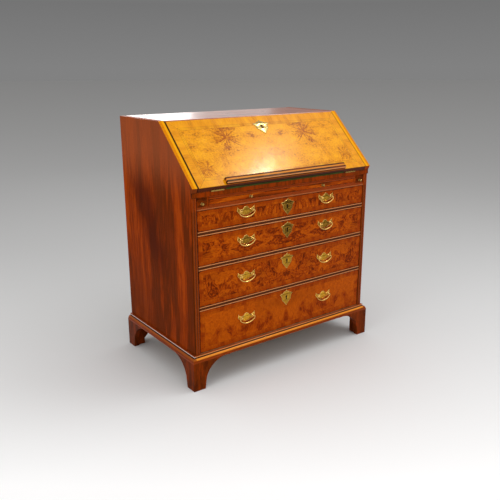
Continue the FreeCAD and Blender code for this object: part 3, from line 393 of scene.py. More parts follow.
def combine(x, y, z=0.0):
    return add_node(x.tree, "CombineXYZ", {"X": x, "Y": y, "Z": z}, "Vector")


def book_matched(face):
    """Coordinates whose left half mirrors the right one."""
    x, y, z = parts(face)
    return combine(abs(x), y, z)


def mapped(vector, location=(0, 0, 0), rotation=(0, 0, 0)):
    inputs = {"Vector": vector, "Location": location, "Rotation": rotation}
    return add_node(vector.tree, "Mapping", inputs, "Vector")


def on_face(coordinates, middle, turn=0.0):
    """Coordinates on a face that leans by turn: X across it, Y up it and Z out of it, from its middle."""
    return mapped(coordinates, -(Matrix.Rotation(turn, 3, "X") @ middle), (turn, 0, 0))


def along_grain(coordinates, axis):
    """Coordinates with Y along the grain, which runs along an axis of the object."""
    return mapped(coordinates, rotation=GRAIN_TURN[axis])


def make_group(build):
    """Shader node group of a function: its arguments are the inputs, and what it returns the outputs."""
    tree = bpy.data.node_groups.new(build.__name__, "ShaderNodeTree")
    for label, argument in inspect.signature(build).parameters.items():
        default = argument.default
        kind = {3: "Vector", 4: "Color"}[len(default)] if isinstance(default, tuple) else "Float"
        socket = tree.interface.new_socket(label, in_out="INPUT", socket_type="NodeSocket" + kind)
        socket.default_value = default
    given = tree.nodes.new("NodeGroupInput").outputs
    made = build(**{socket.name: Value(socket) for socket in given if socket.name})
    for label, value in made.items():
        kind = {"VALUE": "Float", "VECTOR": "Vector", "RGBA": "Color"}[value.socket.type]
        tree.interface.new_socket(label, in_out="OUTPUT", socket_type="NodeSocket" + kind)
    taken = tree.nodes.new("NodeGroupOutput").inputs
    for label, value in made.items():
        feed(taken[label], value)
    return tree


def use_group(build, vector, **inputs):
    """Place the node group of a function, which is made once, and return its outputs by name."""
    node = vector.tree.nodes.new("ShaderNodeGroup")
    node.node_tree = bpy.data.node_groups.get(build.__name__) or make_group(build)
    for label, value in {"vector": vector, **inputs}.items():
        feed(node.inputs[label], value)
    return {socket.name: Value(socket) for socket in node.outputs}


# Shared effects

def walnut_figure(vector=(0, 0, 0), seed=0.0, rings=6.0, warp=0.4):
    """Bands that follow each other as growth rings do, with finer streaks between them."""
    drift = noise(vector, 0.8, seed=seed, output="Color") - (0.5, 0.5, 0.5)
    place = vector + drift * warp
    broad = noise(place, detail=3.0, seed=seed)
    fine = noise(place, 7.0, detail=4.0, roughness=0.62, seed=seed)
    swell = broad * rings
    bands = swell.pingpong(1.0)
    lines = ((fine * 0.6 + swell) * 4.0).pingpong(1.0)
    streaks = fine.step(0.3, 0.7)
    tone = broad.step(0.28, 0.72) * 0.36 + bands * 0.22 + lines * 0.14 + streaks * 0.28
    return {"Tone": tone, "Height": streaks * 0.5 + bands}


def wood_pores(vector=(0, 0, 0)):
    """Short dark pores along Y."""
    return {"Mask": noise(vector * (1500.0, 90.0, 1500.0), detail=1.0).step(0.56, 0.74)}


def veneer_border(vector=(0, 0, 0), half_width=0.4, half_height=0.1, crossband=0.03, feather=0.01):
    """Crossbanding and a herringbone band round a flat face, from its half sizes."""
    blur = 0.0002
    x, y, _ = parts(vector)
    from_end = half_width - abs(x)
    from_top = half_height - abs(y)
    edge = from_end.at_most(from_top)
    at_end = from_end < from_top
    past_band = edge - crossband
    past_feather = past_band - feather
    band = past_band.fade(-blur, blur)
    bordered = past_feather.fade(-blur, blur)
    off_middle = abs(past_band - feather * 0.5)
    mitre = abs(from_end - from_top) + (1.0 - bordered)
    near_line = abs(past_band).at_most(abs(past_feather)).at_most(off_middle).at_most(mitre)
    along = y * at_end + x * (1.0 - at_end)
    slanted = along + off_middle * (1.0 - band)
    return {
        "Band": band,
        "Feather": bordered - band,
        "Line": near_line.fade(0.0003, 0.0011),
        "Grain": combine(slanted, edge, at_end),
    }


def burr_star(vector=(0, 0, 0), reach=0.1, seed=0.0):
    """Dark rays round the heart of a burr."""
    share = vector.length() / reach
    wander = noise(vector, 38.0, detail=3.0, roughness=0.6, seed=seed, output="Color")
    around = vector.normalized() + wander * (0.24, 0.24, 0.0)
    rays = (noise(around, 8.0, detail=0.0, seed=seed) - share * 0.06).step(0.5, 0.54)
    ragged = share + noise(vector, 60.0, seed=seed).step(0.3, 0.7, -0.35, 0.35)
    return {"Mask": (rays * ragged.fade(0.3, 1.0)).at_least(ragged.fade(0.02, 0.15, 0.6))}


def board_edges(vector=(0, 0, 0), middle=(0, 0, 0), half=(0.1, 0.1, 0.1), width=0.003):
    """Uneven mask along the edges of a board, from its middle and half sizes."""
    x, y, z = parts(half - abs(vector - middle))
    most = x.at_least(y).at_least(z)
    least = x.at_most(y).at_most(z)
    share = (x + y + z - most - least) / width
    uneven = noise(vector, 45.0, detail=4.0, roughness=0.6).step(0.3, 0.7, 0.8, -0.3)
    return {"Mask": (share + uneven).fade(0.0, 1.0)}


def waxed_surface(vector=(0, 0, 0), clear=0.26, dull=0.42):
    """Roughness of an old wax polish: clearer and duller patches with fine scratches."""
    patches = noise(vector, 9.0, detail=4.0, roughness=0.6)
    scratches = noise(vector * (40.0, 40.0, 600.0))
    return {"Roughness": (scratches * 0.35 + patches * 0.65).step(0.32, 0.68, clear, dull)}


def old_brass(vector=(0, 0, 0), bright=(1, 1, 1, 1), tarnish=(0, 0, 0, 1), dirt=0.0):
    """Brass with tarnish left in patches and hollows."""
    patches = noise(vector, 130.0, detail=4.0, roughness=0.65)
    dark = (patches.step(0.47, 0.68) * 0.6).at_least(dirt)
    return {
        "Color": mix(dark, bright, tarnish),
        "Roughness": patches.step(0.35, 0.7, 0.2, 0.46),
        "Height": noise(vector, 700.0, detail=3.0),
    }


# Wood finishes

def make_material(name):
    """New material, and the object's coordinates in it."""
    material = bpy.data.materials.new(name)
    material.use_nodes = True
    return material, add_node(material.node_tree, "TexCoord", {}, "Object")


def set_shader(material, inputs):
    """Feed the shader of a material, and return the material."""
    shader = material.node_tree.nodes["Principled BSDF"]
    for name, value in inputs.items():
        feed(shader.inputs[name], value)
    return material


def finish_wood(material, wood, coordinates, height, polish):
    """Old tinted varnish over a wood colour, with a coat of wax. The polish is one of POLISH."""
    varnish = POLISH[polish]
    surface = use_group(waxed_surface, coordinates, clear=varnish["clear"], dull=varnish["dull"])
    return set_shader(material, {
        "Base Color": wood,
        "Roughness": surface["Roughness"],
        "Normal": bump(height, 0.12, 0.0004),
        "Specular IOR Level": varnish["shine"],
        "Specular Tint": VARNISH_TINT,
        "Coat Weight": varnish["wax"],
        "Coat Roughness": varnish["blur"],
    })


def wood_figure(vector, scale, seed, rings, warp):
    """Tone and height of figured wood; the scale is how tight the figure is along each axis."""
    figure = use_group(walnut_figure, vector * scale, seed=seed, rings=rings, warp=warp)
    return figure["Tone"], figure["Height"]


def add_pores(colours, wood, vector, strength=0.4):
    mask = use_group(wood_pores, vector)["Mask"]
    return mix(mask * strength, wood, colours.pores, "MULTIPLY")


def middle_and_half(node):
    """Middle of a node's box, and its half sizes."""
    low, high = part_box(node)
    return (low + high) / 2, (high - low) / 2


def dirty_edges(colours, wood, coordinates, node, width):
    """Painted shade of the gaps along the edges of a board that has the box of a node."""
    middle, half = middle_and_half(node)
    mask = use_group(board_edges, coordinates, middle=middle, half=half, width=width)["Mask"]
    return mix(mask * 0.9, wood, colours.joint)


def add_border(wood, face, half_width, half_height, crossband, feather, tones, inlay):
    """Crossbanding, herringbone band and their joints over a veneer; inlay is how dark the joints are."""
    sizes = {"half_width": half_width, "half_height": half_height, "crossband": crossband, "feather": feather}
    border = use_group(veneer_border, face, **sizes)
    fine = noise(border["Grain"] * (330.0, 35.0, 5.0), detail=4.0, roughness=0.65)
    grain = noise(border["Grain"] * (26.0, 8.0, 5.0)) * 0.6 + fine * 0.5
    wood = mix(border["Band"], wood, grain.ramp((0.3, 0.52, 0.75), tones))
    wood = mix(border["Feather"], wood, grain.ramp((0.36, 0.5, 0.64), tones))
    return mix(border["Line"] * inlay, wood, tones[0])


def add_fall_joint(colours, wood, x, distance, near, far):
    """Painted shade of the open gap beside the fall, stronger on the left."""
    shown = (x < 0.0) * 0.65 + 0.3
    return mix(distance.fade(near, far) * shown, wood, colours.joint)


def walnut(colours, name, axis, tones, seed, stretch=8.0, across=60.0, dirty_node=None):
    """Plain walnut with its grain along an axis; tones are the dark, middle and light colours."""
    material, coordinates = make_material(name)
    grain = along_grain(coordinates, axis)
    tone, height = wood_figure(grain, (across, across / stretch, across), seed, rings=5.0, warp=0.5)
    wood = add_pores(colours, tone.ramp((0.22, 0.5, 0.8), tones), grain)
    # Painted shade along the edges, where the gaps beside the board fall dark
    if dirty_node:
        wood = dirty_edges(colours, wood, coordinates, dirty_node, 0.0035)
    return finish_wood(material, wood, coordinates, height, "rubbed")


def moulded_walnut(colours):
    """Base moulding from the bottom up: brown fascia, a painted highlight on the ovolo, painted shade in the
    groove and a painted highlight on the bead on top, which at the sides is a pale painted reflection.
    """
    material, coordinates = make_material("Base walnut")
    tone, height = wood_figure(coordinates, (9.0, 9.0, 160.0), seed=9.0, rings=3.0, warp=0.4)
    wood = tone.ramp((0.2, 0.5, 0.8), case_tones(colours))
    low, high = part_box("base_mouldings")
    case_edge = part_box("right_side")[1].x
    x, _, z = parts(coordinates)
    share = (z - low.z) / (high.z - low.z)
    on_side = abs(x).step(case_edge, case_edge + 0.006)
    # Painted highlight on the ovolo, faint at the sides
    ovolo = share.band(0.34, 0.5, 0.62, 0.68) * (on_side * -0.75 + 0.9)
    wood = mix(ovolo, wood, colours.moulding)
    # Painted shade in the groove
    wood = mix(share.band(0.64, 0.68, 0.76, 0.82), wood, colours.joint)
    # Painted highlight on the crest of the bead, a pale painted reflection at the sides
    crest = share.band(0.8, 0.86, 0.9, 0.95) * 0.8
    wood = mix(crest, wood, mix(on_side, colours.bead, colours.side_bead))
    return finish_wood(material, wood, coordinates, height, "waxed")


def beaded_walnut(colours, name, axis, seed, across, rise, shade, crest, groove):
    """Walnut with beads, from a row of BEADS, with painted highlights on the crests and painted shade in the
    grooves.
    """
    material, coordinates = make_material(name)
    grain = along_grain(coordinates, axis)
    tone, height = wood_figure(grain, (across, across / 6.0, across), seed, rings=3.0, warp=0.5)
    wood = tone.ramp((0.0, 0.6, 1.0), drawer_tones(colours))
    low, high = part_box("drawer_1_front")
    _, y, z = parts(coordinates)
    below = z < high.z
    proud = (low.y - y) / rise
    # Painted shade in the grooves beside the beads, below the top of the top drawer
    wood = mix(proud.fade(0.35, 0.85, groove) * below, wood, colours.joint)
    # Painted highlight on the crests, fainter above the top of the top drawer
    rubbed = proud.step(0.85, 0.97, 0.0, crest) * (below * 0.75 + 0.25)
    wood = mix(rubbed, wood, getattr(colours, shade))
    return finish_wood(material, wood, coordinates, height, "waxed")


def book_rest_walnut(colours, slope):
    """Book rest: dark with painted shade, with a painted highlight band along its middle and a painted
    highlight line along its front edge.
    """
    material, coordinates = make_material("Book rest walnut")
    face = on_face(coordinates, slope.hinge, -slope.angle)
    tone, height = wood_figure(face, (6.0, 160.0, 160.0), seed=15.0, rings=4.0, warp=0.4)
    # Dark tones down to the joint colour: painted shade over the book rest
    wood = tone.ramp((0.4, 0.6, 0.9), (colours.joint, colours.drawer_dark, colours.drawer_mid))
    _, up, out = parts(face)
    up = up - slope.box("book_rest")[0].y
    # Painted highlight band along the middle, and painted highlight line along the front edge
    wood = mix(abs(up - REST_BAND).fade(0.002, 0.005, 0.8), wood, colours.moulding)
    nose = up.fade(0.0028, 0.0032, 0.85) * (out - slope.thickness).step(0.005, 0.007)
    wood = mix(nose, wood, colours.bead)
    return finish_wood(material, wood, face, height, "rubbed")


def case_veneer(colours, slope):
    """Side boards: upright grain with a dark heart streak, a painted sheen above, painted shade low toward
    the back, and a golden edge along the slope with painted shade at the gap beside the fall.
    """
    material, coordinates = make_material("Walnut side veneer")
    tone, height = wood_figure(coordinates, (6.0, 15.0, 1.5), seed=3.0, rings=5.0, warp=0.55)
    wood = tone.ramp((0.28, 0.5, 0.72), case_tones(colours))
    x, y, z = parts(coordinates)
    wander = noise(coordinates * (1.0, 14.0, 5.0), detail=3.0, roughness=0.6) * 0.16 - 0.08
    from_heart = abs(y - (z * HEART_LEAN + HEART_FOOT)) + wander
    heart = from_heart.fade(0.02, 0.12, 0.8) * abs(z - HEART_LEVEL).fade(0.08, 0.27)
    wood = mix(heart, wood, colours.case_heart)
    # Painted sheen, stronger toward the top of the sides
    wood = mix(z.step(0.72, 0.92, 0.0, 0.6), wood, colours.case_faded)
    # Painted shade: darker low down and toward the back
    wood = mix(z.fade(0.2, 0.5, 0.6) * y.step(-0.1, 0.2), wood, colours.case_dark)
    wood = add_pores(colours, wood, along_grain(coordinates, "z"))
    face = on_face(coordinates, slope.hinge, -slope.angle)
    grain = noise(face * (60.0, 420.0, 60.0), detail=3.0, roughness=0.6)
    from_fall = abs(x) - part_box("fall_panel")[1].x
    edging = grain.ramp((0.2, 0.6), (colours.drawer_light, colours.fall_mid))
    edging = mix(from_fall.fade(0.012, 0.017, 0.7), edging, colours.fall_light)
    _, _, out = parts(face)
    wood = mix((out - slope.thickness).step(-0.0006, -0.0003), wood, edging)
    # Painted shade at the gap beside the fall
    wood = add_fall_joint(colours, wood, x, from_fall, 0.0035, 0.0055)
    return finish_wood(material, wood, coordinates, height, "case")


def top_veneer(colours, sizes):
    """Top board: grain across the width inside a crossbanded border."""
    material, coordinates = make_material("Walnut top veneer")
    middle, half = middle_and_half("top_board")
    face = on_face(coordinates, middle)
    tones = drawer_tones(colours)
    tone, height = wood_figure(book_matched(face), (5.0, 16.0, 4.0), seed=8.0, rings=6.0, warp=0.7)
    wood = tone.ramp((0.15, 0.5, 0.85), tones)
    wood = add_border(wood, face, half.x, half.y, sizes.top_crossband, sizes.top_feather, tones, 0.5)
    return finish_wood(material, wood, face, height, "top")


def fall_veneer(colours, sizes, slope):
    """Book-matched burr walnut with dark stars and swirls, inside a golden border, with painted shade at its
    edges and below the book rest; plain walnut behind.
    """
    material, coordinates = make_material("Burr walnut fall")
    low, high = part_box("fall_panel")
    half_width = (high.x - low.x) / 2
    half_up = slope.length / 2
    face = on_face(coordinates, slope.face_point(half_up), -slope.angle)
    matched = book_matched(face)
    across, y, z = parts(matched)
    tones = (colours.fall_dark, colours.fall_mid, colours.fall_light)
    tone, height = wood_figure(matched, (17.0, 21.0, 8.0), seed=1.7, rings=6.0, warp=1.3)
    speckle = noise(matched * (110.0, 140.0, 60.0), detail=4.0, roughness=0.65)
    clouds = noise(matched * (7.0, 20.0, 5.0), detail=3.0, roughness=0.55, seed=6.0).step(0.3, 0.7)
    wood = (speckle * 0.58 + tone * 0.3 + clouds * 0.15).ramp((0.36, 0.49, 0.68), tones)
    star = (sizes.star_across, sizes.star_up, sizes.star_reach, 4.0, 0.9)
    swirl = (sizes.swirl_across, sizes.swirl_up, sizes.swirl_reach, 7.0, 0.65)
    for place_across, place_up, reach, seed, strength in (star, swirl):
        spot = combine(across - place_across, y - (place_up - half_up))
        rays = use_group(burr_star, spot, reach=reach, seed=seed)["Mask"]
        wood = mix(rays * strength, wood, colours.drawer_mid)
    wood = add_border(wood, face, half_width, half_up, sizes.fall_crossband, sizes.fall_feather, tones, 0.85)
    # Painted shade at the gaps at the ends of the fall
    wood = add_fall_joint(colours, wood, parts(face)[0], high.x - across, 0.002, 0.0035)
    # Painted shade on the strip below the book rest
    below_rest = (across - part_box("book_rest")[1].x).fade(0.0, 0.003) * (y + half_up).fade(0.01, 0.013, 0.8)
    wood = mix(below_rest, wood, colours.drawer_mid)
    # Edges of the fall: plain edge wood, darkened further with painted shade
    edges = [(one + two) / 2 for one, two in zip(colours.drawer_dark, colours.joint)]
    wood = mix(z.fade(-0.0025, -0.0012), wood, edges)
    grain, _ = wood_figure(face, (5.0, 45.0, 8.0), seed=33.0, rings=5.0, warp=0.5)
    inside = grain.ramp((0.2, 0.5, 0.85), (colours.case_dark, colours.drawer_mid, colours.drawer_light))
    wood = mix(z < 0.0006 - slope.thickness, wood, inside)
    return finish_wood(material, wood, face, height, "fall")


def drawer_veneer(colours, sizes, number):
    """Drawer front: book-matched figured walnut inside a herringbone band, with dovetails at its ends, and
    painted shade round its edges and behind its keyhole.
    """
    node = "drawer_%d_front" % number
    look = DRAWER_FIGURE[number - 1]
    material, coordinates = make_material("Figured walnut drawer %d" % number)
    low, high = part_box(node)
    half = (high - low) / 2
    middle = Vector((0, low.y, (low.z + high.z) / 2))
    face = on_face(coordinates, middle, -QUARTER)
    matched = book_matched(face)
    tones = drawer_tones(colours)
    scale = (look["across"], look["up"], 6.0)
    tone, height = wood_figure(matched, scale, 10.0 * number, look["rings"], look["warp"])
    tone = (tone - 0.5) * look["contrast"] + (0.5 + look["light"])
    wood = tone.ramp((0.29, 0.45, 0.78), tones)
    clouds = noise(matched * (6.0, 11.0, 6.0), detail=4.0, roughness=0.6, seed=3.0 * number)
    wood = mix(clouds.step(0.47, 0.7, 0.0, look["smoke"]), wood, colours.drawer_dark)
    wood = add_pores(colours, wood, face, 0.3)
    wood = add_border(wood, face, half.x, half.z, sizes.drawer_crossband, sizes.drawer_feather, tones, 0.5)
    # Painted shade along the gaps round the drawer front
    wood = dirty_edges(colours, wood, coordinates, node, 0.0045)
    x, y, z = parts(face)
    turn = y.pingpong(DOVETAIL_PITCH / 2) / (DOVETAIL_PITCH / 2)
    tail = (turn < z * DOVETAIL_FLARE + DOVETAIL_SHARE) * (z < -DOVETAIL_LAP)
    wood = mix(tail * (half.x - abs(x)).fade(0.0003, 0.0006), wood, colours.oak_light)
    # Painted shade on the drawer front behind the keyhole
    key_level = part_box("drawer_%d_lock" % number)[0].z + sizes.escutcheon_drop
    from_key = combine(x, y - (key_level - middle.z)).length()
    wood = mix((from_key < KEYHOLE_RADIUS) * (z < -0.0005), wood, colours.keyhole)
    return finish_wood(material, wood, face, height, "rubbed")


def add_oak(colours, coordinates, axis, seed):
    """Colour and height of oak with its grain along an axis."""
    grain = along_grain(coordinates, axis)
    tone, height = wood_figure(grain, (40.0, 2.2, 40.0), seed, rings=7.0, warp=0.4)
    wood = tone.ramp((0.2, 0.75), (colours.oak_dark, colours.oak_light))
    return add_pores(colours, wood, grain, 0.6), height


def oak(name, colours, axis):
    """Plain oak for the parts inside."""
    material, coordinates = make_material(name)
    wood, height = add_oak(colours, coordinates, axis, seed=2.0)
    return finish_wood(material, wood, coordinates, height, "raw")


def back_oak(colours):
    """Oak boards side by side, each with its own tone, held by nails."""
    material, coordinates = make_material("Oak back boards")
    low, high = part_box("back_boards")
    width = (high.x - low.x) / BACK_BOARDS
    x, _, z = parts(coordinates)
    across = (x - low.x) / width
    number = across.floor()
    wood, height = add_oak(colours, coordinates, "z", seed=number * 3.7)
    tone = add_node(number.tree, "TexWhiteNoise", {"W": number}, "Value", noise_dimensions="1D")
    wood = mix(tone * 0.5, wood, colours.oak_dark)
    off_middle = abs(across - number - 0.5)
    wood = mix(off_middle.step(0.49, 0.497, 0.0, 0.8), wood, colours.joint)
    above = z.pingpong(NAIL_SPACING / 2) - NAIL_SPACING / 4
    nail = combine((off_middle - NAIL_SHARE) * width, above).length()
    wood = mix(nail.fade(0.002, 0.006), wood, colours.joint)
    return finish_wood(material, wood, coordinates, height, "raw")


# Metal and leather finishes

def finish_metal(material, coordinates, bright, tarnish, dirt):
    metal = use_group(old_brass, coordinates, bright=bright, tarnish=tarnish, dirt=dirt)
    return set_shader(material, {
        "Base Color": metal["Color"],
        "Roughness": metal["Roughness"],
        "Normal": bump(metal["Height"], 0.1, 0.0003),
        "Metallic": 1.0,
    })


def plain_metal(name, bright, tarnish, dirt):
    material, coordinates = make_material(name)
    return finish_metal(material, coordinates, bright, tarnish, dirt)


def plate_brass(colours, name, bright, middle, start, reach, dirt):
    """Brass plate, dark round its middle and bright from start to reach, alike on both sides: the bright
    points are partly rubbed brass and partly a painted highlight.
    """
    material, coordinates = make_material(name)
    x, _, z = parts(coordinates)
    away = combine(abs(x) - middle.x, z - middle.z).length()
    specks = noise(coordinates, 260.0).step(0.42, 0.58, 0.65, 1.0)
    # Brighter from start to reach: rubbed brass with a painted highlight on the points
    dark = away.step(start, reach, dirt, dirt * 0.15) * specks
    return finish_metal(material, coordinates, bright, colours.tarnish, dark)


def leather(colours, name, middle, turn, half_width, half_height):
    """Green writing leather with two gilt lines round it, and painted shade where it turns over an edge."""
    material, coordinates = make_material(name)
    face = on_face(coordinates, middle, turn)
    x, y, out = parts(face)
    edge = (half_width - abs(x)).at_most(half_height - abs(y))
    fade = noise(face, 12.0, detail=4.0, roughness=0.6)
    hide = mix(fade.step(0.35, 0.75), colours.leather, colours.faded_leather)
    # Painted shade where the leather turns over an edge
    hide = mix(out.step(0.003, 0.005, 0.0, 0.85), hide, colours.joint)
    thick_line = abs(edge - THICK_GILT_LINE).fade(0.0009, 0.0013)
    thin_line = abs(edge - THIN_GILT_LINE).fade(0.0003, 0.0006)
    gilding = thick_line.at_least(thin_line) * noise(face, 60.0, detail=3.0).step(0.38, 0.55, 0.35, 1.0)
    pebbles = add_node(face.tree, "TexVoronoi", {"Vector": face, "Scale": 900.0}, "Distance")
    return set_shader(material, {
        "Base Color": mix(gilding, hide, colours.gilt),
        "Metallic": gilding,
        "Roughness": fade.step(0.3, 0.7, 0.42, 0.62),
        "Specular IOR Level": 0.06,
        "Normal": bump(pebbles, 0.25, 0.0006),
    })


def shared(name, make, *values):
    """Material that several pieces share, which is made once."""
    return bpy.data.materials.get(name) or make(name, *values)


def brass_finish(colours):
    return shared("Old brass", plain_metal, colours.brass, colours.tarnish, 0.0)


def dull_finish(colours):
    return shared("Dull brass", plain_metal, colours.brass, colours.tarnish, KNOB_DIRT)


def lock_finishes(colours):
    steel = shared("Lock steel", plain_metal, colours.steel, colours.tarnish, 0.0)
    return [steel, dull_finish(colours)]


def oak_finish(colours, axis):
    return shared("Oak along " + axis, oak, colours, axis)


# Mesh helpers

def dress(material, *nodes):
    """Give nodes of the frame a finish."""
    for node in nodes:
        mesh = frame["nodes"][node].data
        mesh.materials.clear()
        mesh.materials.append(material)


def placed(shape, matrix):
    """Carry a shape by a matrix, and return it."""
    bmesh.ops.transform(shape, matrix=matrix, verts=shape.verts[:])
    return shape


def join_part(target, part, index):
    """Add a part's faces to a piece; the part's first material is the one of the piece at index."""
    for face in part.faces:
        face.material_index += index
    holder = bpy.data.meshes.new("part")
    part.to_mesh(holder)
    part.free()
    target.from_mesh(holder)
    bpy.data.meshes.remove(holder)


def make_object(name, shape, materials):
    """Object of a bmesh, which is then freed."""
    mesh = bpy.data.meshes.new(name)
    shape.to_mesh(mesh)
    shape.free()
    for material in materials:
        mesh.materials.append(material)
    made = bpy.data.objects.new(name, mesh)
    bpy.context.scene.collection.objects.link(made)
    return made


def finish_piece(name, shape, materials, body, replaced, slot):
    """Make a piece from its bmesh, let it ride on a body and stand for nodes of the frame."""
    piece = make_object(name, shape, materials)
    piece.data.shade_smooth()
    piece.data.set_sharp_from_angle(angle=SHARP_ANGLE)
    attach(piece, body)
    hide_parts(*replaced)


def board(low, high, rounding):
    """Board between two corners, with softened edges."""
    low, high = Vector(low), Vector(high)
    matrix = Matrix.Translation((low + high) / 2) @ Matrix.Diagonal((*(high - low), 1))
    shape = bmesh.new()
    bmesh.ops.create_cube(shape, size=1.0, matrix=matrix)
    bmesh.ops.bevel(
        shape, geom=shape.edges[:], offset=rounding, offset_type="OFFSET", segments=2, profile=0.5,
        affect="EDGES", material=-1, clamp_overlap=True,
    )
    return shape


def turned(profile, middle, steps=32):
    """Turned part about an axis along Y through its middle; the profile holds (radius, distance forward)."""
    shape = bmesh.new()
    verts = [shape.verts.new((radius, -forward, 0)) for radius, forward in profile]
    edges = [shape.edges.new(pair) for pair in zip(verts, verts[1:])]
    bmesh.ops.spin(
        shape, geom=verts + edges, cent=(0, 0, 0), axis=(0, 1, 0), angle=math.tau, steps=steps, use_merge=True
    )
    bmesh.ops.remove_doubles(shape, verts=shape.verts[:], dist=MERGE_DISTANCE)
    bmesh.ops.recalc_face_normals(shape, faces=shape.faces[:])
    return placed(shape, Matrix.Translation(middle))


def new_curve(name, dimensions, radius, bevel_resolution, resolution):
    curve = bpy.data.curves.new(name, "CURVE")
    curve.dimensions = dimensions
    curve.bevel_depth = radius
    curve.bevel_resolution = bevel_resolution
    curve.resolution_u = resolution
    return curve


def add_outline(curve, points, cyclic=True):
    """Spline through points (x, y, kind): a cusp where the kind is C, smooth where it is S."""
    spline = curve.splines.new("BEZIER")
    spline.bezier_points.add(len(points) - 1)
    spline.use_cyclic_u = cyclic
    for knot, (x, y, kind) in zip(spline.bezier_points, points):
        knot.co = (x, y, 0)
        knot.handle_left_type = knot.handle_right_type = "VECTOR" if kind == "C" else "AUTO"
    return spline


def curve_shape(curve):
    """Bmesh of a curve, which is then removed."""
    holder = bpy.data.objects.new(curve.name, curve)
    mesh = bpy.data.meshes.new_from_object(holder)
    shape = bmesh.new()
    shape.from_mesh(mesh)
    bpy.data.objects.remove(holder)
    bpy.data.curves.remove(curve)
    bpy.data.meshes.remove(mesh)
    return shape


# Brass furniture: upper and lower right half of each outline, in shares of its sizes

BAT_WING = (
    [
        (0, 1, "C"), (0.09, 0.92, "S"), (0.18, 0.84, "S"), (0.25, 0.68, "C"), (0.29, 0.48, "S"),
        (0.37, 0.34, "S"), (0.47, 0.3, "C"), (0.62, 0.37, "S"), (0.78, 0.56, "S"), (0.96, 1, "C"),
        (0.935, 0.74, "S"), (0.95, 0.42, "S"), (1, 0.14, "C"), (0.96, 0.02, "S"),
    ],
    [
        (0.92, 0.14, "S"), (0.8, 0.38, "C"), (0.72, 0.5, "S"), (0.58, 0.6, "S"), (0.46, 0.64, "C"),
        (0.36, 0.78, "S"), (0.2, 0.9, "S"), (0.09, 0.93, "C"), (0, 1, "C"),
    ],
)
SHIELD = (
    [
        (0, 1, "C"), (0.1, 0.8, "S"), (0.22, 0.72, "S"), (0.36, 0.74, "C"), (0.5, 0.54, "S"),
        (0.74, 0.48, "S"), (1, 0.36, "C"), (0.84, 0.2, "S"), (0.75, 0.02, "S"),
    ],
    [
        (0.7, 0.12, "S"), (0.72, 0.26, "C"), (0.57, 0.44, "S"), (0.36, 0.64, "S"), (0.16, 0.84, "S"),
        (0, 1, "C"),
    ],
)

# Right half of a bail from its pin down to its middle: place, and thickness beside the other points

BAIL = [
    (0.0280, 0.0, 0.75), (0.0325, 0.0, 0.8), (0.0360, -0.0030, 0.9), (0.0363, -0.0070, 0.85),
    (0.0336, -0.0115, 0.85), (0.0190, -0.0207, 1.05),
]
BAIL_MIDDLE = (0.0, -0.0245, 1.2)

# Turned knob on its rose: radius, and share of its length

KNOB = [
    (0.0, 0.0), (0.0050, 0.0), (0.0050, 0.06), (0.0034, 0.14), (0.0026, 0.28), (0.0030, 0.4),
    (0.0046, 0.53), (0.0052, 0.66), (0.0049, 0.8), (0.0036, 0.93), (0.0018, 0.985), (0.0, 1.0),
]


def whole_outline(form, half, rise, drop):
    """Closed outline from the upper and lower right half of a form."""
    upper, lower = form
    right = [(x * half, z * rise, kind) for x, z, kind in upper]
    right += [(x * half, -z * drop, kind) for x, z, kind in lower]
    return right + [(-x, z, kind) for x, z, kind in reversed(right[1:-1])]


def keyhole_outline(radius=0.0042, slot=0.0025, drop=0.014):
    return [
        (0, radius, "S"), (radius, 0, "S"), (slot, -radius * 0.85, "C"), (slot, -drop, "C"),
        (-slot, -drop, "C"), (-slot, -radius * 0.85, "C"), (-radius, 0, "S"),
    ]


def plate(outlines, sizes):
    """Upright plate whose back lies in the plane Y = 0: the first outline is its edge, the others are holes.

    Its bevelled border takes the first material and the flat inside it the second.
    """
    rounding = sizes.plate_rounding
    thickness = sizes.plate_thickness - rounding
    curve = new_curve("plate", "2D", rounding, bevel_resolution=2, resolution=6)
    curve.fill_mode = "BOTH"
    curve.extrude = thickness / 2 - rounding
    curve.offset = -rounding
    for outline in outlines:
        add_outline(curve, outline)
    shape = curve_shape(curve)
    bmesh.ops.remove_doubles(shape, verts=shape.verts[:], dist=MERGE_DISTANCE)
    front = [face for face in shape.faces if face.normal.z > 0.99]
    border = bmesh.ops.inset_region(
        shape, faces=front, thickness=sizes.plate_border, depth=rounding, use_boundary=True,
        use_even_offset=False,
    )["faces"]
    hole = max((math.hypot(x, y) for outline in outlines[1:] for x, y, _ in outline), default=0.0)
    at_hole = [face for face in border if face.calc_center_median().length < hole + sizes.plate_border]
    for face in front + at_hole:
        face.material_index = 1
    return placed(shape, Matrix.Translation((0, -thickness / 2, 0)) @ UPRIGHT)


def escutcheon(half, drop, sizes):
    """Shield with a keyhole, which lies at the origin."""
    return plate([whole_outline(SHIELD, half, sizes.escutcheon_rise, drop), keyhole_outline()], sizes)


def handle_post(place, reach, base, ball=0.0046, neck=0.0026, steps=8):
    """Turned post: a collar on the plate, a neck and a ball head that holds the bail."""
    profile = [(0, base), (ball, base), (ball, base + 0.0009), (0.0031, base + 0.002), (neck, reach - ball)]
    for step in range(1, steps + 1):
        angle = math.radians(35 + step * 145 / steps)
        profile.append((ball * math.sin(angle), reach - ball * math.cos(angle)))
    return turned(profile, place, 24)


def bail_shape(radius):
    """Drop handle hanging from its two pins, thicker in the middle."""
    points = BAIL + [BAIL_MIDDLE] + [(-x, z, share) for x, z, share in reversed(BAIL)]
    curve = new_curve("bail", "3D", radius, bevel_resolution=4, resolution=8)
    curve.use_fill_caps = True
    spline = add_outline(curve, [(x, z, "S") for x, z, _ in points], False)
    for knot, (_, _, share) in zip(spline.bezier_points, points):
        knot.radius = share / BAIL_MIDDLE[2]
    return placed(curve_shape(curve), UPRIGHT)


def knob_shape(middle, reach):
    return turned([(radius, share * reach) for radius, share in KNOB], middle)


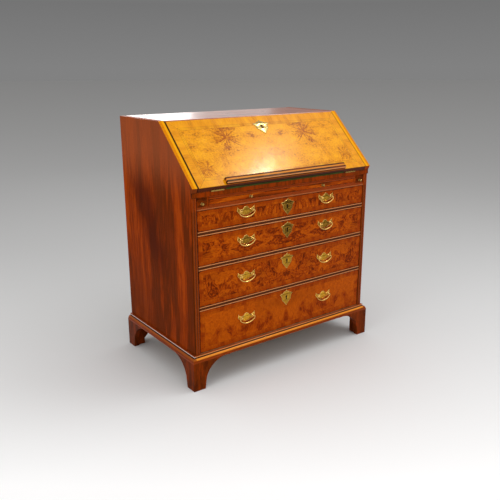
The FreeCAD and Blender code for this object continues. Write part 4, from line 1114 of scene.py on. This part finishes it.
def box_lock(size, lip=0.0006, rim=0.004, inset=0.0085, screw=0.0026):
    """Box lock that looks forward from its top edge: steel case, screwed brass cap, key boss and bolt."""
    half = size.x / 2
    boards = [
        ((-half, 2 * lip, -size.z), (half, size.y, -lip), lip, 0),
        ((rim - half, lip, rim - size.z), (half - rim, 3 * lip, -rim), lip / 2, 1),
        ((-half / 3, size.y * 0.35, -2 * rim), (half / 3, size.y * 0.65, 0), lip / 2, 1),
    ]
    shape = bmesh.new()
    for low, high, rounding, index in boards:
        join_part(shape, board(low, high, rounding), index)
    boss = [(0, lip), (2 * screw, lip), (2.4 * screw, 0)]
    join_part(shape, turned(boss, (0, lip, -size.z / 2)), 0)
    head = [(0, lip), (0.7 * screw, 0.9 * lip), (screw, 0.2 * lip), (screw, -lip)]
    bar = Vector((0.75 * screw, lip / 4, 0.14 * screw))
    for x in (inset - half, half - inset):
        for z in (-inset, inset - size.z):
            join_part(shape, turned(head, (x, lip, z), 16), 1)
            middle = Vector((x, lip / 4, z))
            join_part(shape, board(middle - bar, middle + bar, lip / 10), 0)
    return shape


# What the frame says

def joint_place(name):
    return Vector(next(joint["pos_m"] for joint in frame["joints"] if joint["name"] == name))


class Slope:
    """The closed fall: its hinge line, how it leans and how long it is."""

    def __init__(self, thickness):
        self.hinge = joint_place("fall_hinge")
        self.hinge.x = 0
        self.thickness = thickness
        corners = [vertex.co for vertex in frame["nodes"]["left_side"].data.vertices]
        level = max(corner.z for corner in corners)
        crest = min((corner for corner in corners if level - corner.z < 1e-5), key=lambda corner: corner.y)
        rise = crest - self.hinge
        self.angle = math.atan2(rise.z, rise.y) - math.asin(thickness / math.hypot(rise.y, rise.z))
        self.length = self.box("fall_panel")[1].y

    def matrix(self):
        """Carries a shape that lies flat, with Y up the slope and Z out of it, to the closed fall."""
        return Matrix.Translation(self.hinge) @ Matrix.Rotation(self.angle, 4, "X")

    def face_point(self, along):
        """Point on the middle line of the outer face, at a distance up the slope from the hinge."""
        return self.matrix() @ Vector((0, along, self.thickness))

    def box(self, node):
        """Lowest and highest corner of a node, measured across, up and out of the slope."""
        flat = self.matrix().inverted()
        corners = [flat @ vertex.co for vertex in frame["nodes"][node].data.vertices]
        return [Vector(map(pick, zip(*corners))) for pick in (min, max)]


# Stage

def add_floor(colours):
    """Round floor whose colour darkens with the distance from the camera, a painted fall-off of light."""
    material, coordinates = make_material("Pale floor")
    _, away, _ = parts(mapped(coordinates, rotation=(0, 0, math.radians(VIEW_YAW))))
    level = FLOOR_FALL / (away + FLOOR_START).at_least(FLOOR_NEAREST) + FLOOR_LEAST
    shade = mix(level, (0, 0, 0, 1), colours.floor)
    set_shader(material, {"Base Color": shade, "Roughness": 0.9, "Specular IOR Level": 0.1})
    shape = bmesh.new()
    bmesh.ops.create_circle(shape, cap_ends=True, segments=96, radius=FLOOR_RADIUS)
    floor = make_object("floor", shape, [material])
    floor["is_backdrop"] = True


def add_world(scene, colours):
    """Grey backdrop that turns into a soft light from above."""
    world = bpy.data.worlds.new("studio")
    world.use_nodes = True
    tree = world.node_tree
    _, _, height = parts(add_node(tree, "TexCoord", {}, "Generated"))
    upper = [BACKDROP_SHADE * value for value in colours.backdrop[:3]] + [1.0]
    sky = height.ramp((0.0, 0.09, 0.85), (colours.backdrop, upper, colours.overhead))
    feed(tree.nodes["Background"].inputs["Color"], sky)
    scene.world = world


def add_lamp(name, place, target, size, power, withheld):
    """Rectangular lamp that looks at its target, from a row of LAMPS."""
    lamp = bpy.data.lights.new(name, "AREA")
    lamp.shape = "RECTANGLE"
    lamp.size, lamp.size_y = size
    lamp.energy = power
    holder = bpy.data.objects.new(name, lamp)
    holder.location = place
    holder.rotation_euler = (Vector(target) - Vector(place)).to_track_quat("-Z", "Y").to_euler()
    holder.visible_camera = False
    holder.visible_glossy = withheld != "glossy"
    holder.visible_diffuse = withheld != "diffuse"
    bpy.context.scene.collection.objects.link(holder)


def add_camera(scene):
    camera = bpy.data.cameras.new("camera")
    camera.lens = VIEW_LENS
    camera.sensor_width = SENSOR_WIDTH
    holder = bpy.data.objects.new("camera", camera)
    yaw = Matrix.Rotation(math.radians(-VIEW_YAW), 4, "Z")
    pitch = Matrix.Rotation(math.radians(90 - VIEW_PITCH), 4, "X")
    roll = Matrix.Rotation(math.radians(VIEW_ROLL), 4, "Z")
    holder.matrix_world = Matrix.Translation(VIEW_PLACE) @ yaw @ pitch @ roll
    scene.collection.objects.link(holder)
    scene.camera = holder


# Pieces that stand for nodes of the frame

def add_small_drawer(place, sizes, finishes, gap=0.0002, rounding=0.0006):
    """Walnut front with a brass knob, and oak sides, bottom and back, inside the box of its node."""
    node = "small_drawer_" + place
    low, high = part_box(node)
    low.y += sizes.knob_length + gap
    near = low.y + sizes.small_front
    thin = sizes.small_side
    boards = [
        (low, (high.x, near, high.z), 0),
        ((low.x, near, low.z), (low.x + thin, high.y, high.z), 1),
        ((high.x - thin, near, low.z), high, 1),
        ((low.x + thin, near, low.z), (high.x - thin, high.y, low.z + thin), 1),
        ((low.x + thin, high.y - thin, low.z + thin), (high.x - thin, high.y, high.z), 1),
    ]
    shape = bmesh.new()
    for start, end, index in boards:
        join_part(shape, board(start, end, rounding), index)
    middle = ((low.x + high.x) / 2, low.y, (low.z + high.z) / 2)
    join_part(shape, knob_shape(middle, sizes.knob_length), 2)
    finish_piece(place + ".small_drawer", shape, finishes, place + "_small_drawer", [node], "walnut")


def add_plates(drawer, axis, sizes, finishes):
    """Two plates, each with two posts that are held by nuts inside the drawer."""
    front_low, front_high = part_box(drawer + "_front")
    low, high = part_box(drawer + "_handle_plates")
    half = high.x - sizes.handle_spread / 2
    outline = whole_outline(BAT_WING, half, high.z - axis.z, axis.z - low.z)
    corner = Vector((sizes.nut_width / 2, 0, sizes.nut_width / 2))
    depth = Vector((0, sizes.nut_depth, 0))
    shape = bmesh.new()
    for side in HANDS.values():
        place = Vector((side * sizes.handle_spread / 2, front_low.y, axis.z))
        join_part(shape, placed(plate([outline], sizes), Matrix.Translation(place)), 0)
        for post in HANDS.values():
            spot = place + Vector((post * sizes.post_spread / 2, 0, 0))
            join_part(shape, handle_post(spot, front_low.y - axis.y, sizes.plate_thickness), 0)
            nut = Vector((spot.x, front_high.y, axis.z))
            join_part(shape, board(nut - corner, nut + corner + depth, rounding=0.0004), 0)
    finish_piece(drawer + ".handle_plates", shape, finishes, drawer, [drawer + "_handle_plates"], "brass")


def add_bail(name, side, axis, sizes, finish):
    """Drop handle; its body and its node have its name with a line for the dot."""
    place = Matrix.Translation((side * sizes.handle_spread / 2, axis.y, axis.z))
    shape = placed(bail_shape(sizes.bail_radius), place)
    node = name.replace(".", "_")
    finish_piece(name, shape, [finish], node, [node], "brass")


def plate_finishes(colours, owner, rubbed, bright, middle, reach, dirt):
    """Brass of the border and of the flat, bright at the top points: partly rubbed brass, partly a painted
    highlight.
    """
    border = "Border of %s escutcheon" % owner
    flat = "Brass of %s escutcheon" % owner
    # The rubbed colour of the border is partly a painted highlight
    return [
        plate_brass(colours, border, rubbed, middle, reach * 0.6, reach * 0.9, dirt * 0.8),
        plate_brass(colours, flat, bright, middle, reach * 0.75, reach, dirt),
    ]


def add_drawer_lock(drawer, sizes, colours, dirt):
    """Escutcheon on the front, and a box lock behind it at the top edge."""
    low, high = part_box(drawer + "_lock")
    front_low, front_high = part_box(drawer + "_front")
    half = high.x
    key = Vector((0, front_low.y, low.z + sizes.escutcheon_drop))
    middle = key - Vector((0, 0, half / 2))
    reach = sizes.escutcheon_rise + half / 2
    finishes = plate_finishes(colours, drawer, colours.brass, colours.gold, middle, reach, dirt)
    shape = bmesh.new()
    shield = escutcheon(half, sizes.escutcheon_drop, sizes)
    join_part(shape, placed(shield, Matrix.Translation(key)), 0)
    case = box_lock(Vector((sizes.lock_width, sizes.lock_depth, sizes.lock_height)))
    behind = Matrix.Translation((0, front_high.y, front_high.z)) @ HALF_TURN
    join_part(shape, placed(case, behind), len(finishes))
    finishes += lock_finishes(colours)
    finish_piece(drawer + ".lock", shape, finishes, drawer, [drawer + "_lock"], "brass")


def add_fall_escutcheon(slope, sizes, colours):
    """Pale escutcheon that lies on the slope."""
    low, high = slope.box("fall_escutcheon")
    rise = sizes.escutcheon_rise
    level = high.y - rise
    pale = colours.pale_brass
    finishes = plate_finishes(colours, "fall", pale, pale, slope.face_point(level), rise, FALL_DIRT)
    lay = slope.matrix() @ Matrix.Translation((0, level, slope.thickness)) @ UPRIGHT.inverted()
    shape = placed(escutcheon(high.x, level - low.y, sizes), lay)
    finish_piece("fall.escutcheon", shape, finishes, "fall", ["fall_escutcheon"], "brass")


def add_fall_lock(slope, colours):
    """Box lock let into the inside of the fall at its top edge."""
    low, high = slope.box("fall_lock")
    place = Matrix.Translation((0, high.y, low.z))
    lay = slope.matrix() @ place @ UPRIGHT.inverted() @ HALF_TURN
    shape = placed(box_lock((high - low).xzy), lay)
    finish_piece("fall.lock", shape, lock_finishes(colours), "fall", ["fall_lock"], "brass")


# Operators

class BUREAU_OT_stage(bpy.types.Operator):
    """Pale floor, grey backdrop, soft lamps and the camera"""

    bl_idname = "bureau.stage"
    bl_label = "Stage"

    def execute(self, context):
        _, colours = settings(context)
        add_floor(colours)
        add_world(context.scene, colours)
        for name, lamp in LAMPS.items():
            add_lamp(name, *lamp)
        add_camera(context.scene)
        context.scene.view_settings.view_transform = "Standard"
        return {"FINISHED"}


class BUREAU_OT_case(bpy.types.Operator):
    """Veneer the sides and the top, and finish the boards inside"""

    bl_idname = "bureau.case"
    bl_label = "Case"

    def execute(self, context):
        sizes, colours = settings(context)
        dress(case_veneer(colours, Slope(sizes.fall_thickness)), "left_side", "right_side")
        dress(top_veneer(colours, sizes), "top_board")
        dress(back_oak(colours), "back_boards")
        dress(oak_finish(colours, "x"), "bottom_board", "dust_boards", "writing_bed")
        dress(oak_finish(colours, "y"), "drawer_runners")
        dress(walnut(colours, "Partition walnut", "y", case_tones(colours), seed=27.0), "loper_partitions")
        return {"FINISHED"}


class BUREAU_OT_mouldings(bpy.types.Operator):
    """Finish the rails, beads and base mouldings"""

    bl_idname = "bureau.mouldings"
    bl_label = "Mouldings"

    def execute(self, context):
        _, colours = settings(context)
        for node, look in BEADS.items():
            dress(beaded_walnut(colours, **look), node)
        tones = (colours.case_dark, colours.case_mid, colours.drawer_mid)
        # The waist rail gets painted shade along its edges
        upright = walnut(
            colours, "Crossgrain walnut", "z", tones, seed=5.5, across=70.0, dirty_node="waist_rail"
        )
        dress(upright, "waist_rail")
        dress(moulded_walnut(colours), "base_mouldings")
        return {"FINISHED"}


class BUREAU_OT_feet(bpy.types.Operator):
    """Finish the bracket feet"""

    bl_idname = "bureau.feet"
    bl_label = "Feet"

    def execute(self, context):
        _, colours = settings(context)
        finish = walnut(colours, "Foot walnut", "z", dark_tones(colours), seed=12.0, stretch=5.0, across=38.0)
        for end in ("front", "back"):
            for hand in HANDS:
                dress(finish, "foot_%s_%s" % (end, hand))
        return {"FINISHED"}


class BUREAU_OT_fall(bpy.types.Operator):
    """Veneer the fall, line it and the bed with leather, and finish its book rest"""

    bl_idname = "bureau.fall"
    bl_label = "Fall"

    def execute(self, context):
        sizes, colours = settings(context)
        slope = Slope(sizes.fall_thickness)
        dress(fall_veneer(colours, sizes, slope), "fall_panel")
        dress(book_rest_walnut(colours, slope), "book_rest")
        middle, half = middle_and_half("bed_lining")
        dress(leather(colours, "Bed leather", middle, 0.0, half.x, half.y), "bed_lining")
        low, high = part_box("fall_lining")
        half_up = math.hypot(high.y - low.y, high.z - low.z) / 2
        middle = slope.matrix() @ Vector((0, half_up, 0))
        dress(leather(colours, "Fall leather", middle, -slope.angle, high.x, half_up), "fall_lining")
        return {"FINISHED"}


class BUREAU_OT_drawers(bpy.types.Operator):
    """Veneer the drawer fronts and finish the oak linings"""

    bl_idname = "bureau.drawers"
    bl_label = "Drawers"

    def execute(self, context):
        sizes, colours = settings(context)
        for number, drawer in enumerate(DRAWERS, start=1):
            dress(drawer_veneer(colours, sizes, number), drawer + "_front")
            dress(oak_finish(colours, "y"), drawer + "_linings")
        return {"FINISHED"}


class BUREAU_OT_supports(bpy.types.Operator):
    """Finish the brushing slide and the lopers"""

    bl_idname = "bureau.supports"
    bl_label = "Slide and lopers"

    def execute(self, context):
        _, colours = settings(context)
        tones = (colours.case_dark, colours.drawer_mid, colours.drawer_light)
        # The slide gets painted shade along its edges
        slide = walnut(
            colours, "Slide walnut", "x", tones, seed=21.0, stretch=9.0, across=50.0,
            dirty_node="brushing_slide",
        )
        dress(slide, "brushing_slide")
        loper = walnut(colours, "Loper walnut", "y", dark_tones(colours), seed=24.0)
        dress(loper, "loper_left", "loper_right")
        return {"FINISHED"}


class BUREAU_OT_interior(bpy.types.Operator):
    """Finish the pigeonholes and make the small drawers"""

    bl_idname = "bureau.interior"
    bl_label = "Interior"

    def execute(self, context):
        sizes, colours = settings(context)
        finish = walnut(colours, "Interior walnut", "x", drawer_tones(colours), seed=31.0, across=45.0)
        dress(finish, "pigeonholes")
        finishes = [finish, oak_finish(colours, "y"), brass_finish(colours)]
        for place in ("left", "centre", "right"):
            add_small_drawer(place, sizes, finishes)
        return {"FINISHED"}


class BUREAU_OT_handles(bpy.types.Operator):
    """Make the bat-wing plates, posts and drop handles"""

    bl_idname = "bureau.handles"
    bl_label = "Handles"

    def execute(self, context):
        sizes, colours = settings(context)
        finish = brass_finish(colours)
        reach = sizes.post_spread
        for drawer, dirt in zip(DRAWERS, PLATE_DIRT):
            axis = joint_place(drawer + "_bail_left_swing")
            middle = Vector((sizes.handle_spread / 2, axis.y, axis.z))
            name = "Brass of %s plates" % drawer
            flat = plate_brass(colours, name, colours.gold, middle, reach / 2, reach, dirt)
            add_plates(drawer, axis, sizes, [finish, flat])
            for hand, side in HANDS.items():
                add_bail("%s.bail_%s" % (drawer, hand), side, axis, sizes, finish)
        return {"FINISHED"}


class BUREAU_OT_locks(bpy.types.Operator):
    """Make the escutcheons and the locks"""

    bl_idname = "bureau.locks"
    bl_label = "Escutcheons and locks"

    def execute(self, context):
        sizes, colours = settings(context)
        for drawer, dirt in zip(DRAWERS, ESCUTCHEON_DIRT):
            add_drawer_lock(drawer, sizes, colours, dirt)
        slope = Slope(sizes.fall_thickness)
        add_fall_escutcheon(slope, sizes, colours)
        add_fall_lock(slope, colours)
        return {"FINISHED"}


class BUREAU_OT_knobs(bpy.types.Operator):
    """Make the small knobs of the slide and the lopers"""

    bl_idname = "bureau.knobs"
    bl_label = "Knobs"

    def execute(self, context):
        sizes, colours = settings(context)
        finish = dull_finish(colours)
        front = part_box("brushing_slide")[0].y
        for hand in HANDS:
            node = "loper_knob_" + hand
            low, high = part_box(node)
            middle = ((low.x + high.x) / 2, front, (low.z + high.z) / 2)
            shape = knob_shape(middle, sizes.knob_length)
            finish_piece("loper.knob_" + hand, shape, [finish], hand + "_loper", [node], "brass")
        low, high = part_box("slide_knobs")
        reach = high.x - (high.z - low.z) / 2
        shape = bmesh.new()
        for side in HANDS.values():
            middle = (side * reach, front, (low.z + high.z) / 2)
            join_part(shape, knob_shape(middle, sizes.knob_length), 0)
        finish_piece("slide.knobs", shape, [finish], "slide", ["slide_knobs"], "brass")
        return {"FINISHED"}


class BUREAU_OT_hinges(bpy.types.Operator):
    """Finish the fall's hinges"""

    bl_idname = "bureau.hinges"
    bl_label = "Hinges"

    def execute(self, context):
        _, colours = settings(context)
        dress(dull_finish(colours), "hinge_fixed_leaves", "hinge_moving_leaves")
        return {"FINISHED"}


class BUREAU_PT_pieces(bpy.types.Panel):
    """Lists the pieces of the bureau and their settings"""

    bl_idname = "BUREAU_PT_pieces"
    bl_label = "Bureau"
    bl_space_type = "VIEW_3D"
    bl_region_type = "UI"
    bl_category = "Bureau"

    def draw(self, context):
        for operator in OPERATORS:
            self.layout.operator(operator.bl_idname)
        for group in settings(context):
            box = self.layout.box()
            for name in group.__annotations__:
                box.prop(group, name)


OPERATORS = (
    BUREAU_OT_stage,
    BUREAU_OT_case,
    BUREAU_OT_mouldings,
    BUREAU_OT_feet,
    BUREAU_OT_fall,
    BUREAU_OT_drawers,
    BUREAU_OT_supports,
    BUREAU_OT_interior,
    BUREAU_OT_handles,
    BUREAU_OT_locks,
    BUREAU_OT_knobs,
    BUREAU_OT_hinges,
)
CLASSES = (BureauSizes, BureauColours) + OPERATORS + (BUREAU_PT_pieces,)


def register():
    for cls in CLASSES:
        bpy.utils.register_class(cls)
    bpy.types.Scene.bureau_sizes = bpy.props.PointerProperty(type=BureauSizes)
    bpy.types.Scene.bureau_colours = bpy.props.PointerProperty(type=BureauColours)


def unregister():
    del bpy.types.Scene.bureau_colours
    del bpy.types.Scene.bureau_sizes
    for cls in reversed(CLASSES):
        bpy.utils.unregister_class(cls)


def main():
    register()
    bpy.ops.bureau.stage()
    bpy.ops.bureau.case()
    bpy.ops.bureau.mouldings()
    bpy.ops.bureau.feet()
    bpy.ops.bureau.fall()
    bpy.ops.bureau.drawers()
    bpy.ops.bureau.supports()
    bpy.ops.bureau.interior()
    bpy.ops.bureau.handles()
    bpy.ops.bureau.locks()
    bpy.ops.bureau.knobs()
    bpy.ops.bureau.hinges()
    boxes = {"cad": CAD_BOX, "visual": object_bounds()}


if __name__ == "__main__":
    main()
